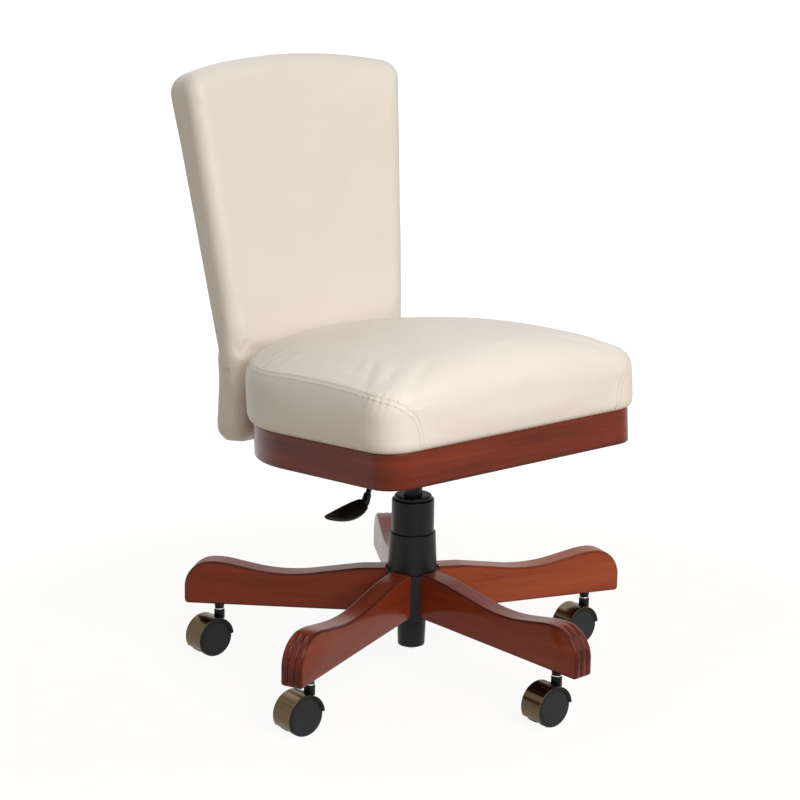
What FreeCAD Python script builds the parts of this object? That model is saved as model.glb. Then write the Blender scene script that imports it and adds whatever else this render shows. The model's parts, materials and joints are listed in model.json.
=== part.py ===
"""Armless swivel chair for a game room, as an assembly of its separate pieces.

Millimetres, +Z up. The origin is on the floor, on the axis of the gas-lift column.
The chair faces -Y, so -X is the sitter's right, where the height lever is.
"""
import FreeCAD, Part
import math
import os
from FreeCAD import Vector

os.makedirs("parts", exist_ok=True)

# Seat band, board and cushion, measured in the seat's own pitched frame
seat_width = 482.0
seat_front = 241.0
seat_rear = 217.0
front_corner_radius = 42.0
rear_flat = 72.0
apron_height = 52.4
apron_wall = 20.0
apron_edge_round = 3.0
apron_bottom_z = 355.0
seat_pitch = 4.6
board_thickness = 15.0
board_inset = 3.0
cushion_bulge = 7.0
cushion_roll = 8.0
crown_height = 128.0
crown_peak_y = -40.0
crown_radius_across = 960.0
crown_radius_along = 1650.0
shoulder_radius = 36.0
cover_thickness = 2.0
soft_gap = 0.3
block_reach = 62.0

# Upholstered back
back_gap = 3.0
back_bottom_z = 336.0
back_kink_z = 467.0
back_top_z = 919.5
back_arch_rise = 23.5
back_low_width = 345.5
back_top_width = 414.0
back_low_thickness = 84.0
back_kink_thickness = 61.5
back_top_thickness = 80.0
back_recline = 9.5
back_plan_radius = 750.0
back_corner_radius = 30.0
back_edge_round = 20.0
back_bend_radius = 90.0
back_board_depth = 38.0
back_board_thickness = 14.0
back_board_margin = 6.0
back_bolt_radius = 4.0
back_bolt_spread = 48.0
back_bolt_height = 30.0
back_spacer_radius = 9.0

# Five-leg base
leg_count = 5
first_leg_angle = 57.8
leg_reach = 358.5
leg_thickness = 35.0
leg_tip_bottom_z = 81.0
leg_hub_bottom_z = 90.0
leg_hub_top_z = 161.0
leg_waist_from_tip = 155.5
leg_waist_z = 136.0
leg_hump_from_tip = 58.5
leg_hump_z = 152.5
leg_tip_top_z = 150.0
leg_tip_round = 45.0
leg_crest_round = 135.0
leg_waist_round = 270.0
leg_hump_round = 135.0
leg_edge_round = 4.0
reed_depth = 2.2
reed_width = 2.6
reed_from_tip = 40.5
hub_radius = 41.0
hub_wall = 5.0
hub_bottom_z = 87.0
hub_top_z = 158.0
hub_sleeve_wall = 5.0
leg_gap = 0.2
leg_bolt_radius = 4.0
leg_bolt_head = 6.5
leg_bolt_head_height = 3.0
leg_bolt_length = 60.0
leg_bolt_low_z = 106.0
leg_bolt_high_z = 136.0
bolt_gap = 0.3

# Gas-lift column
tube_radius = 25.0
tube_foot_radius = 20.7
tube_foot_z = 37.0
tube_wall = 2.0
tube_floor = 4.0
collar_top_z = 219.0
collar_foot_radius = 38.0
collar_top_radius = 35.2
sleeve_wall = 3.0
cover_radius = 32.5
column_top_z = 271.0
bush_flange_radius = 28.7
bush_flange = 6.0
bush_length = 70.0
cylinder_radius = 14.0
cylinder_wall = 2.0
cylinder_foot_z = 66.0
cylinder_top_z = 350.0
gland_height = 12.0
rod_radius = 5.0
piston_height = 12.0
lift_travel = 100.0
lift_reserve = 6.0
slide_gap = 0.05
gland_gap = 0.1
bearing_height = 6.0
bearing_radius = 11.0
clip_thickness = 1.6
clip_radius = 9.0
rod_end_length = 5.0

# Swivel plate under the seat board
plate_width = 170.0
plate_depth = 190.0
plate_sheet = 3.0
pan_width = 124.0
pan_depth = 120.0
pan_floor_z = 344.0
socket_radius = 20.0
socket_length = 46.0
plate_bolt_radius = 3.0
plate_bolt_head = 5.5
plate_bolt_head_height = 4.0
plate_bolt_spread_x = 146.0
plate_bolt_spread_y = 150.0
tee_nut_radius = 9.0
tee_nut_flange = 1.5

# Height lever and the cylinder's release pin
lever_angle = 198.0
lever_pivot_radius = 46.0
lever_pivot_z = 367.0
lever_rod_radius = 4.0
lever_boss_radius = 6.5
lever_boss_length = 12.0
lever_pin_radius = 2.5
lever_tongue_width = 10.0
lever_tongue_thickness = 4.0
lever_bend_at = 92.0
lever_end_at = 133.0
lever_end_z = 296.0
lever_bend_radius = 16.0
ear_thickness = 3.0
ear_gap = 0.4
paddle_tip_at = 240.0
paddle_wide_from_tip = 62.0
paddle_tip_z = 300.5
paddle_sag_z = 291.0
paddle_width = 25.0
paddle_thickness = 8.0
paddle_ferrule_radius = 6.5
paddle_ferrule_length = 14.0
paddle_roll = -35.0
release_radius = 2.5
release_stroke = 6.0

# Hooded twin-wheel casters
caster_from_tip = 52.5
caster_trail = 18.8
wheel_radius = 30.0
wheel_inner = 6.5
wheel_outer = 18.2
wheel_bevel = 2.0
wheel_cap_radius = 24.0
wheel_dome = 0.8
wheel_gap = 0.5
web_half = 6.0
fender_wall = 0.9
fender_half = 19.0
fender_lip = 4.0
fender_lip_wall = 0.5
hood_wall = 0.8
hood_half = 19.3
hood_gap = 0.15
hood_front_angle = 209.0
hood_rear_angle = 5.0
hood_facets = 4
axle_radius = 3.0
axle_half = 15.0
axle_gap = 0.05
boss_radius = 8.25
boss_top_z = 70.0
stem_ring_radius = 7.6
stem_ring_height = 2.2
spigot_radius = 4.0
spigot_depth = 22.0
shank_radius = 5.5
shank_length = 40.0
socket_wall = 1.6
ferrule_foot_radius = 7.0
ferrule_top_radius = 8.6
socket_seat_gap = 0.3

# Values that follow from the driving dimensions
apron_top = apron_height
board_top = apron_top + board_thickness
half_width = seat_width / 2
rear_corner_radius = half_width - rear_flat / 2
pitch = math.radians(seat_pitch)
recline = math.radians(back_recline)
leg_waist_radius = leg_reach - leg_waist_from_tip
leg_hump_radius = leg_reach - leg_hump_from_tip
reed_start = leg_reach - reed_from_tip
caster_circle = leg_reach - caster_from_tip
paddle_wide_at = paddle_tip_at - paddle_wide_from_tip
leg_angles = [first_leg_angle + 360.0 / leg_count * number for number in range(leg_count)]
hood_inner = wheel_radius + wheel_gap + fender_wall + hood_gap
tube_bore = tube_radius - tube_wall
cylinder_bore = cylinder_radius - cylinder_wall
piston_foot_z = cylinder_foot_z + gland_height + lift_travel + lift_reserve
bearing_foot_z = tube_foot_z + tube_floor
socket_foot_z = pan_floor_z - socket_length
bush_foot_z = column_top_z - bush_length
release_top_z = lever_pivot_z - lever_tongue_thickness / 2 - soft_gap
UP = Vector(0, 0, 1)


def inset_corners(corners, inset):
    """Moves every side of a counter-clockwise outline inwards and trims its corner radii to suit."""
    moved = []
    count = len(corners)
    for index, (u, v, radius) in enumerate(corners):
        before = corners[index - 1]
        after = corners[(index + 1) % count]
        a = Vector(u - before[0], v - before[1], 0).normalize()
        b = Vector(after[0] - u, after[1] - v, 0).normalize()
        turn = a.x * b.y - a.y * b.x
        reach = inset / (1 + a.dot(b))
        mu = u + reach * (-a.y - b.y)
        mv = v + reach * (a.x + b.x)
        moved.append((mu, mv, max(radius - math.copysign(inset, turn), 0) if radius else 0))
    return moved


def outline_face(corners, place, inset=0.0):
    """Face bounded by straight sides and tangent corner arcs; place turns (u, v) into a point."""
    moved = inset_corners(corners, inset)
    count = len(moved)
    arcs = []
    for index, (u, v, radius) in enumerate(moved):
        before = moved[index - 1]
        after = moved[(index + 1) % count]
        here = Vector(u, v, 0)
        a = (Vector(before[0], before[1], 0) - here).normalize()
        b = (Vector(after[0], after[1], 0) - here).normalize()
        half = math.acos(max(-1.0, min(1.0, a.dot(b)))) / 2
        cut = radius / math.tan(half)
        middle = (a + b).normalize() * (radius / math.sin(half) - radius)
        arcs.append((here + a * cut, here + middle, here + b * cut, radius))
    edges = []
    for index, (start, middle, end, radius) in enumerate(arcs):
        if radius > 0:
            edges.append(Part.Arc(*[place(p.x, p.y) for p in (start, middle, end)]).toShape())
        following = arcs[(index + 1) % count][0]
        if end.distanceToPoint(following) > 1e-6:
            edges.append(Part.makeLine(place(end.x, end.y), place(following.x, following.y)))
    return Part.Face(Part.Wire(edges))


def turned(profile):
    """Solid of revolution about Z from a closed (radius, height) profile."""
    points = [Vector(radius, 0, height) for radius, height in profile]
    return Part.Face(Part.makePolygon(points + points[:1])).revolve(Vector(), UP, 360)


def rod(radius, start, end):
    """Round bar between two points."""
    return Part.makeCylinder(radius, (end - start).Length, start, end - start)


def block(low, high):
    """Box between two opposite corners."""
    size = high - low
    return Part.makeBox(size.x, size.y, size.z, low)


def spun(shape, angle):
    """Copy of a shape turned about the column axis."""
    copy = shape.copy()
    copy.rotate(Vector(), UP, angle)
    return copy


def moved_to(shape, place):
    """Copy of a shape moved by a vector."""
    copy = shape.copy()
    copy.translate(place)
    return copy


def pitched(shape):
    """Takes a shape from the seat's frame, with its zero at the apron's lower edge, to the chair's frame."""
    copy = shape.copy()
    copy.rotate(Vector(), Vector(1, 0, 0), -seat_pitch)
    copy.translate(Vector(0, 0, apron_bottom_z))
    return copy


def save(name, *solids):
    """Writes one node; a node of several loose solids becomes a compound."""
    loose = [solid for shape in solids for solid in shape.Solids]
    shape = loose[0] if len(loose) == 1 else Part.makeCompound(loose)
    shape.exportStep("parts/%s.step" % name)


# Seat

seat_corners = [
    (-half_width, -seat_front, front_corner_radius),
    (half_width, -seat_front, front_corner_radius),
    (half_width, seat_rear, rear_corner_radius),
    (-half_width, seat_rear, rear_corner_radius),
]


def seat_prism(inset, low, high):
    """Upright prism on the seat's outline, drawn in by inset."""
    face = outline_face(seat_corners, lambda u, v: Vector(u, v, low), inset)
    return face.extrude(Vector(0, 0, high - low))


def crown_solid(inset):
    """Space under the seat's crown: an arc across the seat, swept along it on a larger arc."""
    top = apron_top + crown_height - inset
    radius = crown_radius_across - inset
    half = seat_width
    sag = radius - math.sqrt(radius ** 2 - half ** 2)
    middle = Vector(0, crown_peak_y, 0)
    ends = [middle + Vector(side * half, 0, top - sag) for side in (-1, 1)]
    floor = [middle + Vector(side * half, 0, -top) for side in (1, -1)]
    arc = Part.Arc(ends[0], middle + UP * top, ends[1]).toShape()
    sides = Part.makePolygon([ends[1], floor[0], floor[1], ends[0]])
    face = Part.Face(Part.Wire([arc] + sides.Edges))
    sweep = math.degrees(math.asin(seat_width / crown_radius_along))
    axis = middle + UP * (top + inset - crown_radius_along)
    across = Vector(1, 0, 0)
    face.rotate(axis, across, -sweep)
    return face.revolve(axis, across, 2 * sweep)


def cushion_form(inset, low):
    """Cushion body: bulged seat outline under a crown, with a soft shoulder and a foot that rolls under."""
    body = seat_prism(inset - cushion_bulge, low, apron_top + crown_height).common(crown_solid(inset))
    brim = [edge for edge in body.Edges if edge.BoundBox.ZMin > board_top + shoulder_radius]
    body = body.makeFillet(shoulder_radius - inset, brim)
    foot = [edge for edge in body.Edges if edge.BoundBox.ZMax < low + soft_gap]
    return body.makeFillet(cushion_roll - inset, foot)


def back_bolt_places():
    """Points on the apron's rear inner face where the back is bolted."""
    y = seat_rear - apron_wall
    return [Vector(side * back_bolt_spread / 2, y, back_bolt_height) for side in (-1, 1)]


def back_bolt_holes(radius, length):
    """Bars along the back bolts, from inside the apron rearwards, in the chair's frame."""
    start = Vector(0, -apron_wall, 0)
    end = Vector(0, length, 0)
    bars = [rod(radius, place + start, place + end) for place in back_bolt_places()]
    return pitched(Part.makeCompound(bars))


def plate_bolt_places():
    """Corners of the swivel plate's bolt pattern on the board's lower face, in the seat's frame."""
    across = plate_bolt_spread_x / 2
    along = plate_bolt_spread_y / 2
    return [Vector(x, y, apron_top) for x in (-across, across) for y in (-along, along)]


def build_seat():
    """Apron, corner blocks, board, foam and cover."""
    lower = apron_edge_round
    band = seat_prism(0, 0, apron_top)
    foot = [edge for edge in band.Edges if edge.BoundBox.ZMax < lower]
    band = band.makeFillet(apron_edge_round, foot)
    band = band.cut(seat_prism(apron_wall, -lower, apron_top + lower))
    save("apron", pitched(band).cut(back_bolt_holes(back_bolt_radius + bolt_gap, seat_rear)))

    pocket = seat_prism(apron_wall + soft_gap, apron_edge_round, apron_top)
    front_corner = Vector(half_width - apron_wall, -seat_front + apron_wall, 0)
    bow = rear_corner_radius * (1 - math.sqrt(0.5))
    rear_corner = Vector(half_width - bow, seat_rear - bow, 0)
    blocks = []
    for side in (-1, 1):
        for corner in (front_corner, rear_corner):
            half = Vector(block_reach / 2, block_reach / 2, 0)
            square = block(half * -1, half + UP * apron_top)
            square.rotate(Vector(), UP, 45)
            blocks.append(moved_to(square, Vector(side * corner.x, corner.y, 0)).common(pocket))
    save("corner_blocks", pitched(Part.makeCompound(blocks)))

    board = seat_prism(board_inset, apron_top, board_top)
    nut_barrel = tee_nut_radius / 2
    for place in plate_bolt_places():
        board = board.cut(rod(nut_barrel + bolt_gap, place, place + UP * board_thickness))
    save("seat_board", pitched(board))

    board_space = seat_prism(board_inset - soft_gap, apron_top, board_top)
    inner = cover_thickness + soft_gap
    foam = cushion_form(inner, apron_top + inner).cut(board_space)
    for place in plate_bolt_places():
        seat = place + UP * board_thickness
        foam = foam.cut(rod(tee_nut_radius + soft_gap, seat, seat + UP * (tee_nut_flange + soft_gap)))
    save("seat_foam", pitched(foam))
    skin = cushion_form(0, apron_top).cut(cushion_form(cover_thickness, apron_top + cover_thickness))
    save("seat_cover", pitched(skin.cut(board_space)))


# Back

front_foot_y = (seat_rear + cushion_bulge + back_gap) / math.cos(pitch)
front_foot_y = front_foot_y + (back_bottom_z - apron_bottom_z) * math.tan(pitch)
front_kink_y = front_foot_y + (back_kink_z - back_bottom_z) * math.tan(pitch)
front_top_y = front_kink_y + (back_top_z - back_kink_z) * math.tan(recline)
plan_axis = Vector(0, front_kink_y - back_plan_radius, 0)
arch_turn = 2 * math.atan(2 * back_arch_rise / back_top_width)
apex_rise = back_top_width / 2 * math.tan(arch_turn)
arch_radius = (back_top_width / 2 / math.cos(arch_turn) - back_corner_radius) / math.tan(arch_turn)
foot_slope = (back_bottom_z - back_kink_z) / math.cos(recline)
top_slope = (back_top_z - back_kink_z) / math.cos(recline)
apex_slope = top_slope + arch_radius * (1 / math.cos(arch_turn) - 1)
shoulder_slope = apex_slope - apex_rise
back_corners = [
    (-back_low_width / 2, foot_slope, back_corner_radius),
    (back_low_width / 2, foot_slope, back_corner_radius),
    (back_low_width / 2, 0, back_bend_radius),
    (back_top_width / 2, shoulder_slope, back_corner_radius),
    (0, apex_slope, arch_radius),
    (-back_top_width / 2, shoulder_slope, back_corner_radius),
    (-back_low_width / 2, 0, back_bend_radius),
]
profile_over = back_edge_round + back_low_thickness * math.tan(recline)


def swept_round(corners, inset):
    """Carries a side profile of (y, height) round the back's upright plan axis."""
    sweep = math.degrees(math.asin(back_top_width / back_plan_radius))
    face = outline_face(corners, lambda u, v: Vector(0, u, v), inset)
    face.rotate(plan_axis, UP, -sweep)
    return face.revolve(plan_axis, UP, 2 * sweep)


def back_outline(inset):
    """Block with the back's outline, drawn on the reclined plane of its front and carried square to it."""
    up_slope = Vector(0, math.sin(recline), math.cos(recline))
    square = Vector(0, math.cos(recline), -math.sin(recline))
    reach = square * (back_low_thickness + back_top_thickness)
    start = Vector(0, front_kink_y, back_kink_z) - reach
    face = outline_face(back_corners, lambda u, v: start + Vector(u, 0, 0) + up_slope * v, inset)
    return face.extrude(reach * 2)


def back_form(inset):
    """Upholstered back: kinked side profile on a hollow plan curve, cut to its outline and rounded."""
    over = profile_over
    lean = math.tan(recline) * over
    profile = [
        (front_foot_y - math.tan(pitch) * over, back_bottom_z - over, 0),
        (front_foot_y + back_low_thickness, back_bottom_z - over, 0),
        (front_kink_y + back_kink_thickness, back_kink_z, back_bend_radius),
        (front_top_y + back_top_thickness + lean, back_top_z + over, 0),
        (front_top_y + lean, back_top_z + over, 0),
        (front_kink_y, back_kink_z, back_bend_radius),
    ]
    body = swept_round(profile, inset).common(back_outline(inset))
    rims = []
    for face in body.Faces:
        if isinstance(face.Surface, Part.Cone) or isinstance(face.Surface, Part.Toroid):
            rims.extend(face.OuterWire.Edges)
    border = [e for e in rims if sum(e.isSame(other) for other in rims) == 1]
    return body.makeFillet(back_edge_round - inset, border)


def board_strip(clearance, margin):
    """Bent board: a strip of even thickness that follows the back's front line."""
    near = back_board_depth - clearance
    far = back_board_depth + back_board_thickness + clearance
    over = profile_over
    low = (front_foot_y - math.tan(pitch) * over, back_bottom_z - over)
    bend = (front_kink_y, back_kink_z)
    high = (front_top_y + math.tan(recline) * over, back_top_z + over)
    profile = [
        (low[0] + near, low[1], 0),
        (low[0] + far, low[1], 0),
        (bend[0] + far, bend[1], back_bend_radius),
        (high[0] + far, high[1], 0),
        (high[0] + near, high[1], 0),
        (bend[0] + near, bend[1], back_bend_radius),
    ]
    return swept_round(profile, 0).common(back_outline(margin))


def build_back():
    """Board, foam, cover, and the bolts and spacers that hold them to the apron."""
    reach = apron_wall + front_foot_y - seat_rear + back_board_depth
    passage = back_bolt_holes(back_spacer_radius + soft_gap, reach + back_board_thickness)
    bolt_hole = back_bolt_holes(back_bolt_radius + bolt_gap, reach + back_board_thickness)
    save("back_board", board_strip(0, cover_thickness + back_board_margin).cut(bolt_hole))
    inner = cover_thickness + soft_gap
    pads = back_form(inner).cut(board_strip(soft_gap, -back_edge_round))
    save("back_foam", pads.cut(passage))
    save("back_cover", back_form(0).cut(back_form(cover_thickness)).cut(passage))

    bolts = []
    spacers = []
    head = back_bolt_radius
    for place in back_bolt_places():
        shank = rod(back_bolt_radius, place, place + Vector(0, reach + back_board_thickness, 0))
        bolts.append(shank.fuse(rod(2 * head, place - Vector(0, head, 0), place)).removeSplitter())
        start = place + Vector(0, apron_wall, 0)
        tube = rod(back_spacer_radius, start, start + Vector(0, reach - apron_wall, 0))
        spacers.append(tube.cut(rod(back_bolt_radius + bolt_gap, start, start + Vector(0, reach, 0))))
    save("back_bolts", pitched(Part.makeCompound(bolts)))
    trim = board_strip(soft_gap, -back_edge_round)
    save("back_spacers", pitched(Part.makeCompound(spacers)).cut(trim))


# Base

leg_bottom_slope = (leg_hub_bottom_z - leg_tip_bottom_z) / (leg_reach - hub_radius)
caster_seat_z = leg_tip_bottom_z + leg_bottom_slope * (leg_reach - caster_circle)
shank_foot_z = boss_top_z + soft_gap + stem_ring_height
ferrule_top_z = caster_seat_z - socket_seat_gap
socket_top_z = shank_foot_z + shank_length


def leg_corners():
    """Side outline of a leg, radius by height: waist, hump and rounded tip over a nearly flat sole."""
    inner = hub_radius / 2
    crest = 2 * hub_radius
    fall = (leg_waist_z - leg_hub_top_z) / (leg_waist_radius - hub_radius)
    return [
        (inner, leg_hub_bottom_z + leg_bottom_slope * (hub_radius - inner), 0),
        (leg_reach, leg_tip_bottom_z, leg_edge_round),
        (leg_reach, leg_tip_top_z, leg_tip_round),
        (leg_hump_radius, leg_hump_z, leg_hump_round),
        (leg_waist_radius, leg_waist_z, leg_waist_round),
        (crest, leg_hub_top_z + fall * hub_radius / 2, leg_crest_round),
        (inner, leg_hub_top_z, 0),
    ]


def leg_prism(half, inset):
    """Leg blank on +X, of the given half thickness."""
    face = outline_face(leg_corners(), lambda u, v: Vector(u, -half, v), inset)
    return face.extrude(Vector(0, 2 * half, 0))


def leg_bolt_bars(radius, start, length):
    """Bars along one leg's bolts on +X."""
    heights = (leg_bolt_low_z, leg_bolt_high_z)
    bars = [rod(radius, Vector(start, 0, z), Vector(start + length, 0, z)) for z in heights]
    return Part.makeCompound(bars)


def build_legs():
    """Legs with eased edges, reeded tips, coped inner ends, bolt holes and caster bores."""
    half = leg_thickness / 2
    leg = leg_prism(half, 0)
    long_edges = [e for e in leg.Edges if e.BoundBox.YLength < 1e-6 and e.BoundBox.XMax > hub_radius]
    leg = leg.makeFillet(leg_edge_round, long_edges)
    tip = block(Vector(reed_start, -half, 0), Vector(2 * leg_reach, half, leg_hub_top_z))
    groove = leg_prism(reed_width / 2, 0).cut(leg_prism(reed_width, reed_depth)).common(tip)
    for side in (-1, 1):
        leg = leg.cut(moved_to(groove, Vector(0, side * leg_thickness / 6, 0)))
    leg = leg.cut(Part.makeCylinder(hub_radius + leg_gap, leg_hub_top_z))
    leg = leg.cut(leg_bolt_bars(leg_bolt_radius + bolt_gap, hub_radius, leg_bolt_length))
    bore = Part.makeCylinder(shank_radius + socket_wall + leg_gap, socket_top_z, Vector(caster_circle, 0, 0))
    leg = leg.cut(bore)
    for number, angle in enumerate(leg_angles):
        save("leg_%d" % (number + 1), spun(leg, angle))


def tube_outer(height):
    """Outer radius of the column tube: a slow taper up through the hub, then straight."""
    share = min(1.0, (height - tube_foot_z) / (hub_top_z - tube_foot_z))
    return tube_foot_radius + share * (tube_radius - tube_foot_radius)


def build_hub():
    """Turned hub with its taper sleeve, the collar and cover above it, and the leg bolts."""
    low_bore = tube_outer(hub_bottom_z) + leg_gap
    high_bore = tube_radius + leg_gap
    web = hub_top_z - hub_wall
    inner = hub_radius - hub_wall
    hub = turned([
        (high_bore, hub_top_z),
        (low_bore, hub_bottom_z),
        (low_bore + hub_sleeve_wall, hub_bottom_z),
        (high_bore + hub_sleeve_wall, web),
        (inner, web),
        (inner, hub_bottom_z),
        (hub_radius, hub_bottom_z),
        (hub_radius, hub_top_z),
    ])
    bolts = []
    for angle in leg_angles:
        bore = leg_bolt_bars(leg_bolt_radius + bolt_gap, inner - hub_wall, 3 * hub_wall)
        hub = hub.cut(spun(bore, angle))
        head_face = math.sqrt(inner ** 2 - leg_bolt_head ** 2) - leg_bolt_head_height - bolt_gap
        shank = leg_bolt_bars(leg_bolt_radius, head_face, leg_bolt_length)
        cap = leg_bolt_bars(leg_bolt_head, head_face, leg_bolt_head_height)
        bolts.extend(spun(s, angle) for s in shank.fuse(cap).removeSplitter().Solids)
    save("hub", hub)
    save("leg_bolts", *bolts)

    rest = tube_radius + leg_gap
    save("hub_collar", turned([
        (collar_foot_radius, hub_top_z),
        (collar_top_radius, collar_top_z),
        (rest, collar_top_z),
        (rest, collar_top_z - sleeve_wall),
        (collar_top_radius - sleeve_wall, collar_top_z - sleeve_wall),
        (collar_foot_radius - sleeve_wall, hub_top_z),
    ]))
    save("column_cover", turned([
        (cover_radius, collar_top_z),
        (cover_radius, column_top_z),
        (rest, column_top_z),
        (rest, column_top_z - sleeve_wall),
        (cover_radius - sleeve_wall, column_top_z - sleeve_wall),
        (cover_radius - sleeve_wall, collar_top_z),
    ]))


def build_column():
    """Tube, bush, bearing, rod, piston, clip and cylinder of the gas lift."""
    eye = rod_radius + slide_gap
    foot_bore = tube_foot_radius - tube_wall
    save("column_tube", turned([
        (tube_foot_radius, tube_foot_z),
        (tube_radius, hub_top_z),
        (tube_radius, column_top_z),
        (tube_bore, column_top_z),
        (tube_bore, hub_top_z),
        (foot_bore, bearing_foot_z),
        (eye, bearing_foot_z),
        (eye, tube_foot_z),
    ]))
    slide = cylinder_radius + slide_gap
    plug = tube_bore - leg_gap
    save("guide_bush", turned([
        (slide, bush_foot_z),
        (plug, bush_foot_z),
        (plug, column_top_z),
        (bush_flange_radius, column_top_z),
        (bush_flange_radius, column_top_z + bush_flange / 2),
        (bush_flange_radius - bush_flange / 2, column_top_z + bush_flange),
        (slide, column_top_z + bush_flange),
    ]))
    save("thrust_bearing", turned([
        (eye, bearing_foot_z),
        (bearing_radius, bearing_foot_z),
        (bearing_radius, bearing_foot_z + bearing_height),
        (eye, bearing_foot_z + bearing_height),
    ]))
    rod_shoulder_z = bearing_foot_z + bearing_height
    neck = rod_radius - clip_thickness
    clip_top = tube_foot_z - soft_gap
    clip_foot = clip_top - clip_thickness
    rod_foot = clip_foot - rod_end_length
    save("piston_rod", turned([
        (0, rod_foot),
        (rod_radius, rod_foot),
        (rod_radius, clip_foot),
        (neck, clip_foot),
        (neck, clip_top),
        (rod_radius, clip_top),
        (rod_radius, rod_shoulder_z),
        (2 * rod_radius - clip_thickness, rod_shoulder_z),
        (2 * rod_radius - clip_thickness, rod_shoulder_z + bearing_height / 2),
        (rod_radius, rod_shoulder_z + bearing_height / 2),
        (rod_radius, piston_foot_z + piston_height),
        (0, piston_foot_z + piston_height),
    ]))
    ring = turned([
        (neck + slide_gap, clip_foot),
        (clip_radius, clip_foot),
        (clip_radius, clip_top),
        (neck + slide_gap, clip_top),
    ])
    mouth = block(Vector(0, -neck, clip_foot), Vector(clip_radius, neck, clip_top))
    save("retaining_clip", ring.cut(mouth))
    crown = cylinder_bore - gland_gap
    save("piston", turned([
        (rod_radius + slide_gap, piston_foot_z),
        (crown, piston_foot_z),
        (crown, piston_foot_z + piston_height),
        (rod_radius + slide_gap, piston_foot_z + piston_height),
    ]))
    gland = rod_radius + gland_gap
    pin_bore = release_radius + slide_gap
    save("gas_cylinder", turned([
        (gland, cylinder_foot_z),
        (cylinder_radius, cylinder_foot_z),
        (cylinder_radius, cylinder_top_z),
        (pin_bore, cylinder_top_z),
        (pin_bore, cylinder_top_z - gland_height),
        (cylinder_bore, cylinder_top_z - gland_height),
        (cylinder_bore, cylinder_foot_z + gland_height),
        (gland, cylinder_foot_z + gland_height),
    ]))
    pin_foot = Vector(0, 0, cylinder_top_z - gland_height - release_stroke)
    save("release_pin", rod(release_radius, pin_foot, Vector(0, 0, release_top_z)))


def build_plate():
    """Pressed swivel plate: pitched flange, pan with an upright taper socket, and the lever's ears."""
    flange_low = apron_top - plate_sheet
    flange = block(
        Vector(-plate_width / 2, -plate_depth / 2, flange_low),
        Vector(plate_width / 2, plate_depth / 2, apron_top),
    )
    across = pan_width / 2
    along = pan_depth / 2
    pan_high = apron_bottom_z + apron_top + plate_depth
    outer = block(Vector(-across, -along, pan_floor_z), Vector(across, along, pan_high))
    hollow = block(
        Vector(plate_sheet - across, plate_sheet - along, pan_floor_z + plate_sheet),
        Vector(across - plate_sheet, along - plate_sheet, pan_high),
    )
    seat_space = block(
        Vector(-plate_width, -plate_depth, apron_top),
        Vector(plate_width, plate_depth, apron_top + 2 * plate_depth),
    )
    pan = outer.cut(hollow).cut(pitched(seat_space))
    plate = pitched(flange).cut(hollow).fuse(pan)
    sleeve = Part.makeCylinder(socket_radius, socket_length + plate_sheet, Vector(0, 0, socket_foot_z))
    plate = plate.fuse(sleeve)
    bore_height = cylinder_top_z - socket_foot_z
    plate = plate.cut(Part.makeCylinder(cylinder_radius + leg_gap, bore_height, Vector(0, 0, socket_foot_z)))
    inner = lever_boss_length / 2 + ear_gap
    ear_low = pan_floor_z + plate_sheet / 2
    reach = lever_boss_radius
    ear = block(
        Vector(lever_pivot_radius - reach, inner, ear_low),
        Vector(lever_pivot_radius + reach, inner + ear_thickness, lever_pivot_z + reach),
    )
    twin = block(
        Vector(lever_pivot_radius - reach, -inner - ear_thickness, ear_low),
        Vector(lever_pivot_radius + reach, -inner, lever_pivot_z + reach),
    )
    span = inner + ear_thickness
    pivot = Vector(lever_pivot_radius, 0, lever_pivot_z)
    pin_hole = rod(lever_pin_radius + bolt_gap, pivot - Vector(0, span, 0), pivot + Vector(0, span, 0))
    slot_half = lever_rod_radius + 2 * ear_thickness
    slot = block(
        Vector(lever_pivot_radius + reach, -slot_half, lever_pivot_z - 4 * lever_rod_radius),
        Vector(plate_width, slot_half, lever_pivot_z + 3 * lever_rod_radius),
    )
    plate = plate.cut(spun(slot, lever_angle)).fuse(spun(ear.fuse(twin).cut(pin_hole), lever_angle))
    bolts = []
    nuts = []
    barrel = tee_nut_radius / 2
    for place in plate_bolt_places():
        low = place - UP * plate_sheet
        plate = plate.cut(pitched(rod(plate_bolt_radius + bolt_gap, low, place)))
        head = rod(plate_bolt_head, low - UP * plate_bolt_head_height, low)
        bolts.append(rod(plate_bolt_radius, low, place + UP * board_thickness).fuse(head).removeSplitter())
        seat = place + UP * board_thickness
        nut = rod(barrel, place, seat).fuse(rod(tee_nut_radius, seat, seat + UP * tee_nut_flange))
        nuts.append(nut.cut(rod(plate_bolt_radius + bolt_gap, place, seat)).removeSplitter())
    save("swivel_plate", plate.removeSplitter())
    save("plate_bolts", pitched(Part.makeCompound(bolts)))
    save("tee_nuts", pitched(Part.makeCompound(nuts)))
    pin = rod(lever_pin_radius, pivot - Vector(0, span, 0), pivot + Vector(0, span, 0))
    save("lever_pin", spun(pin, lever_angle))


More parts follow.
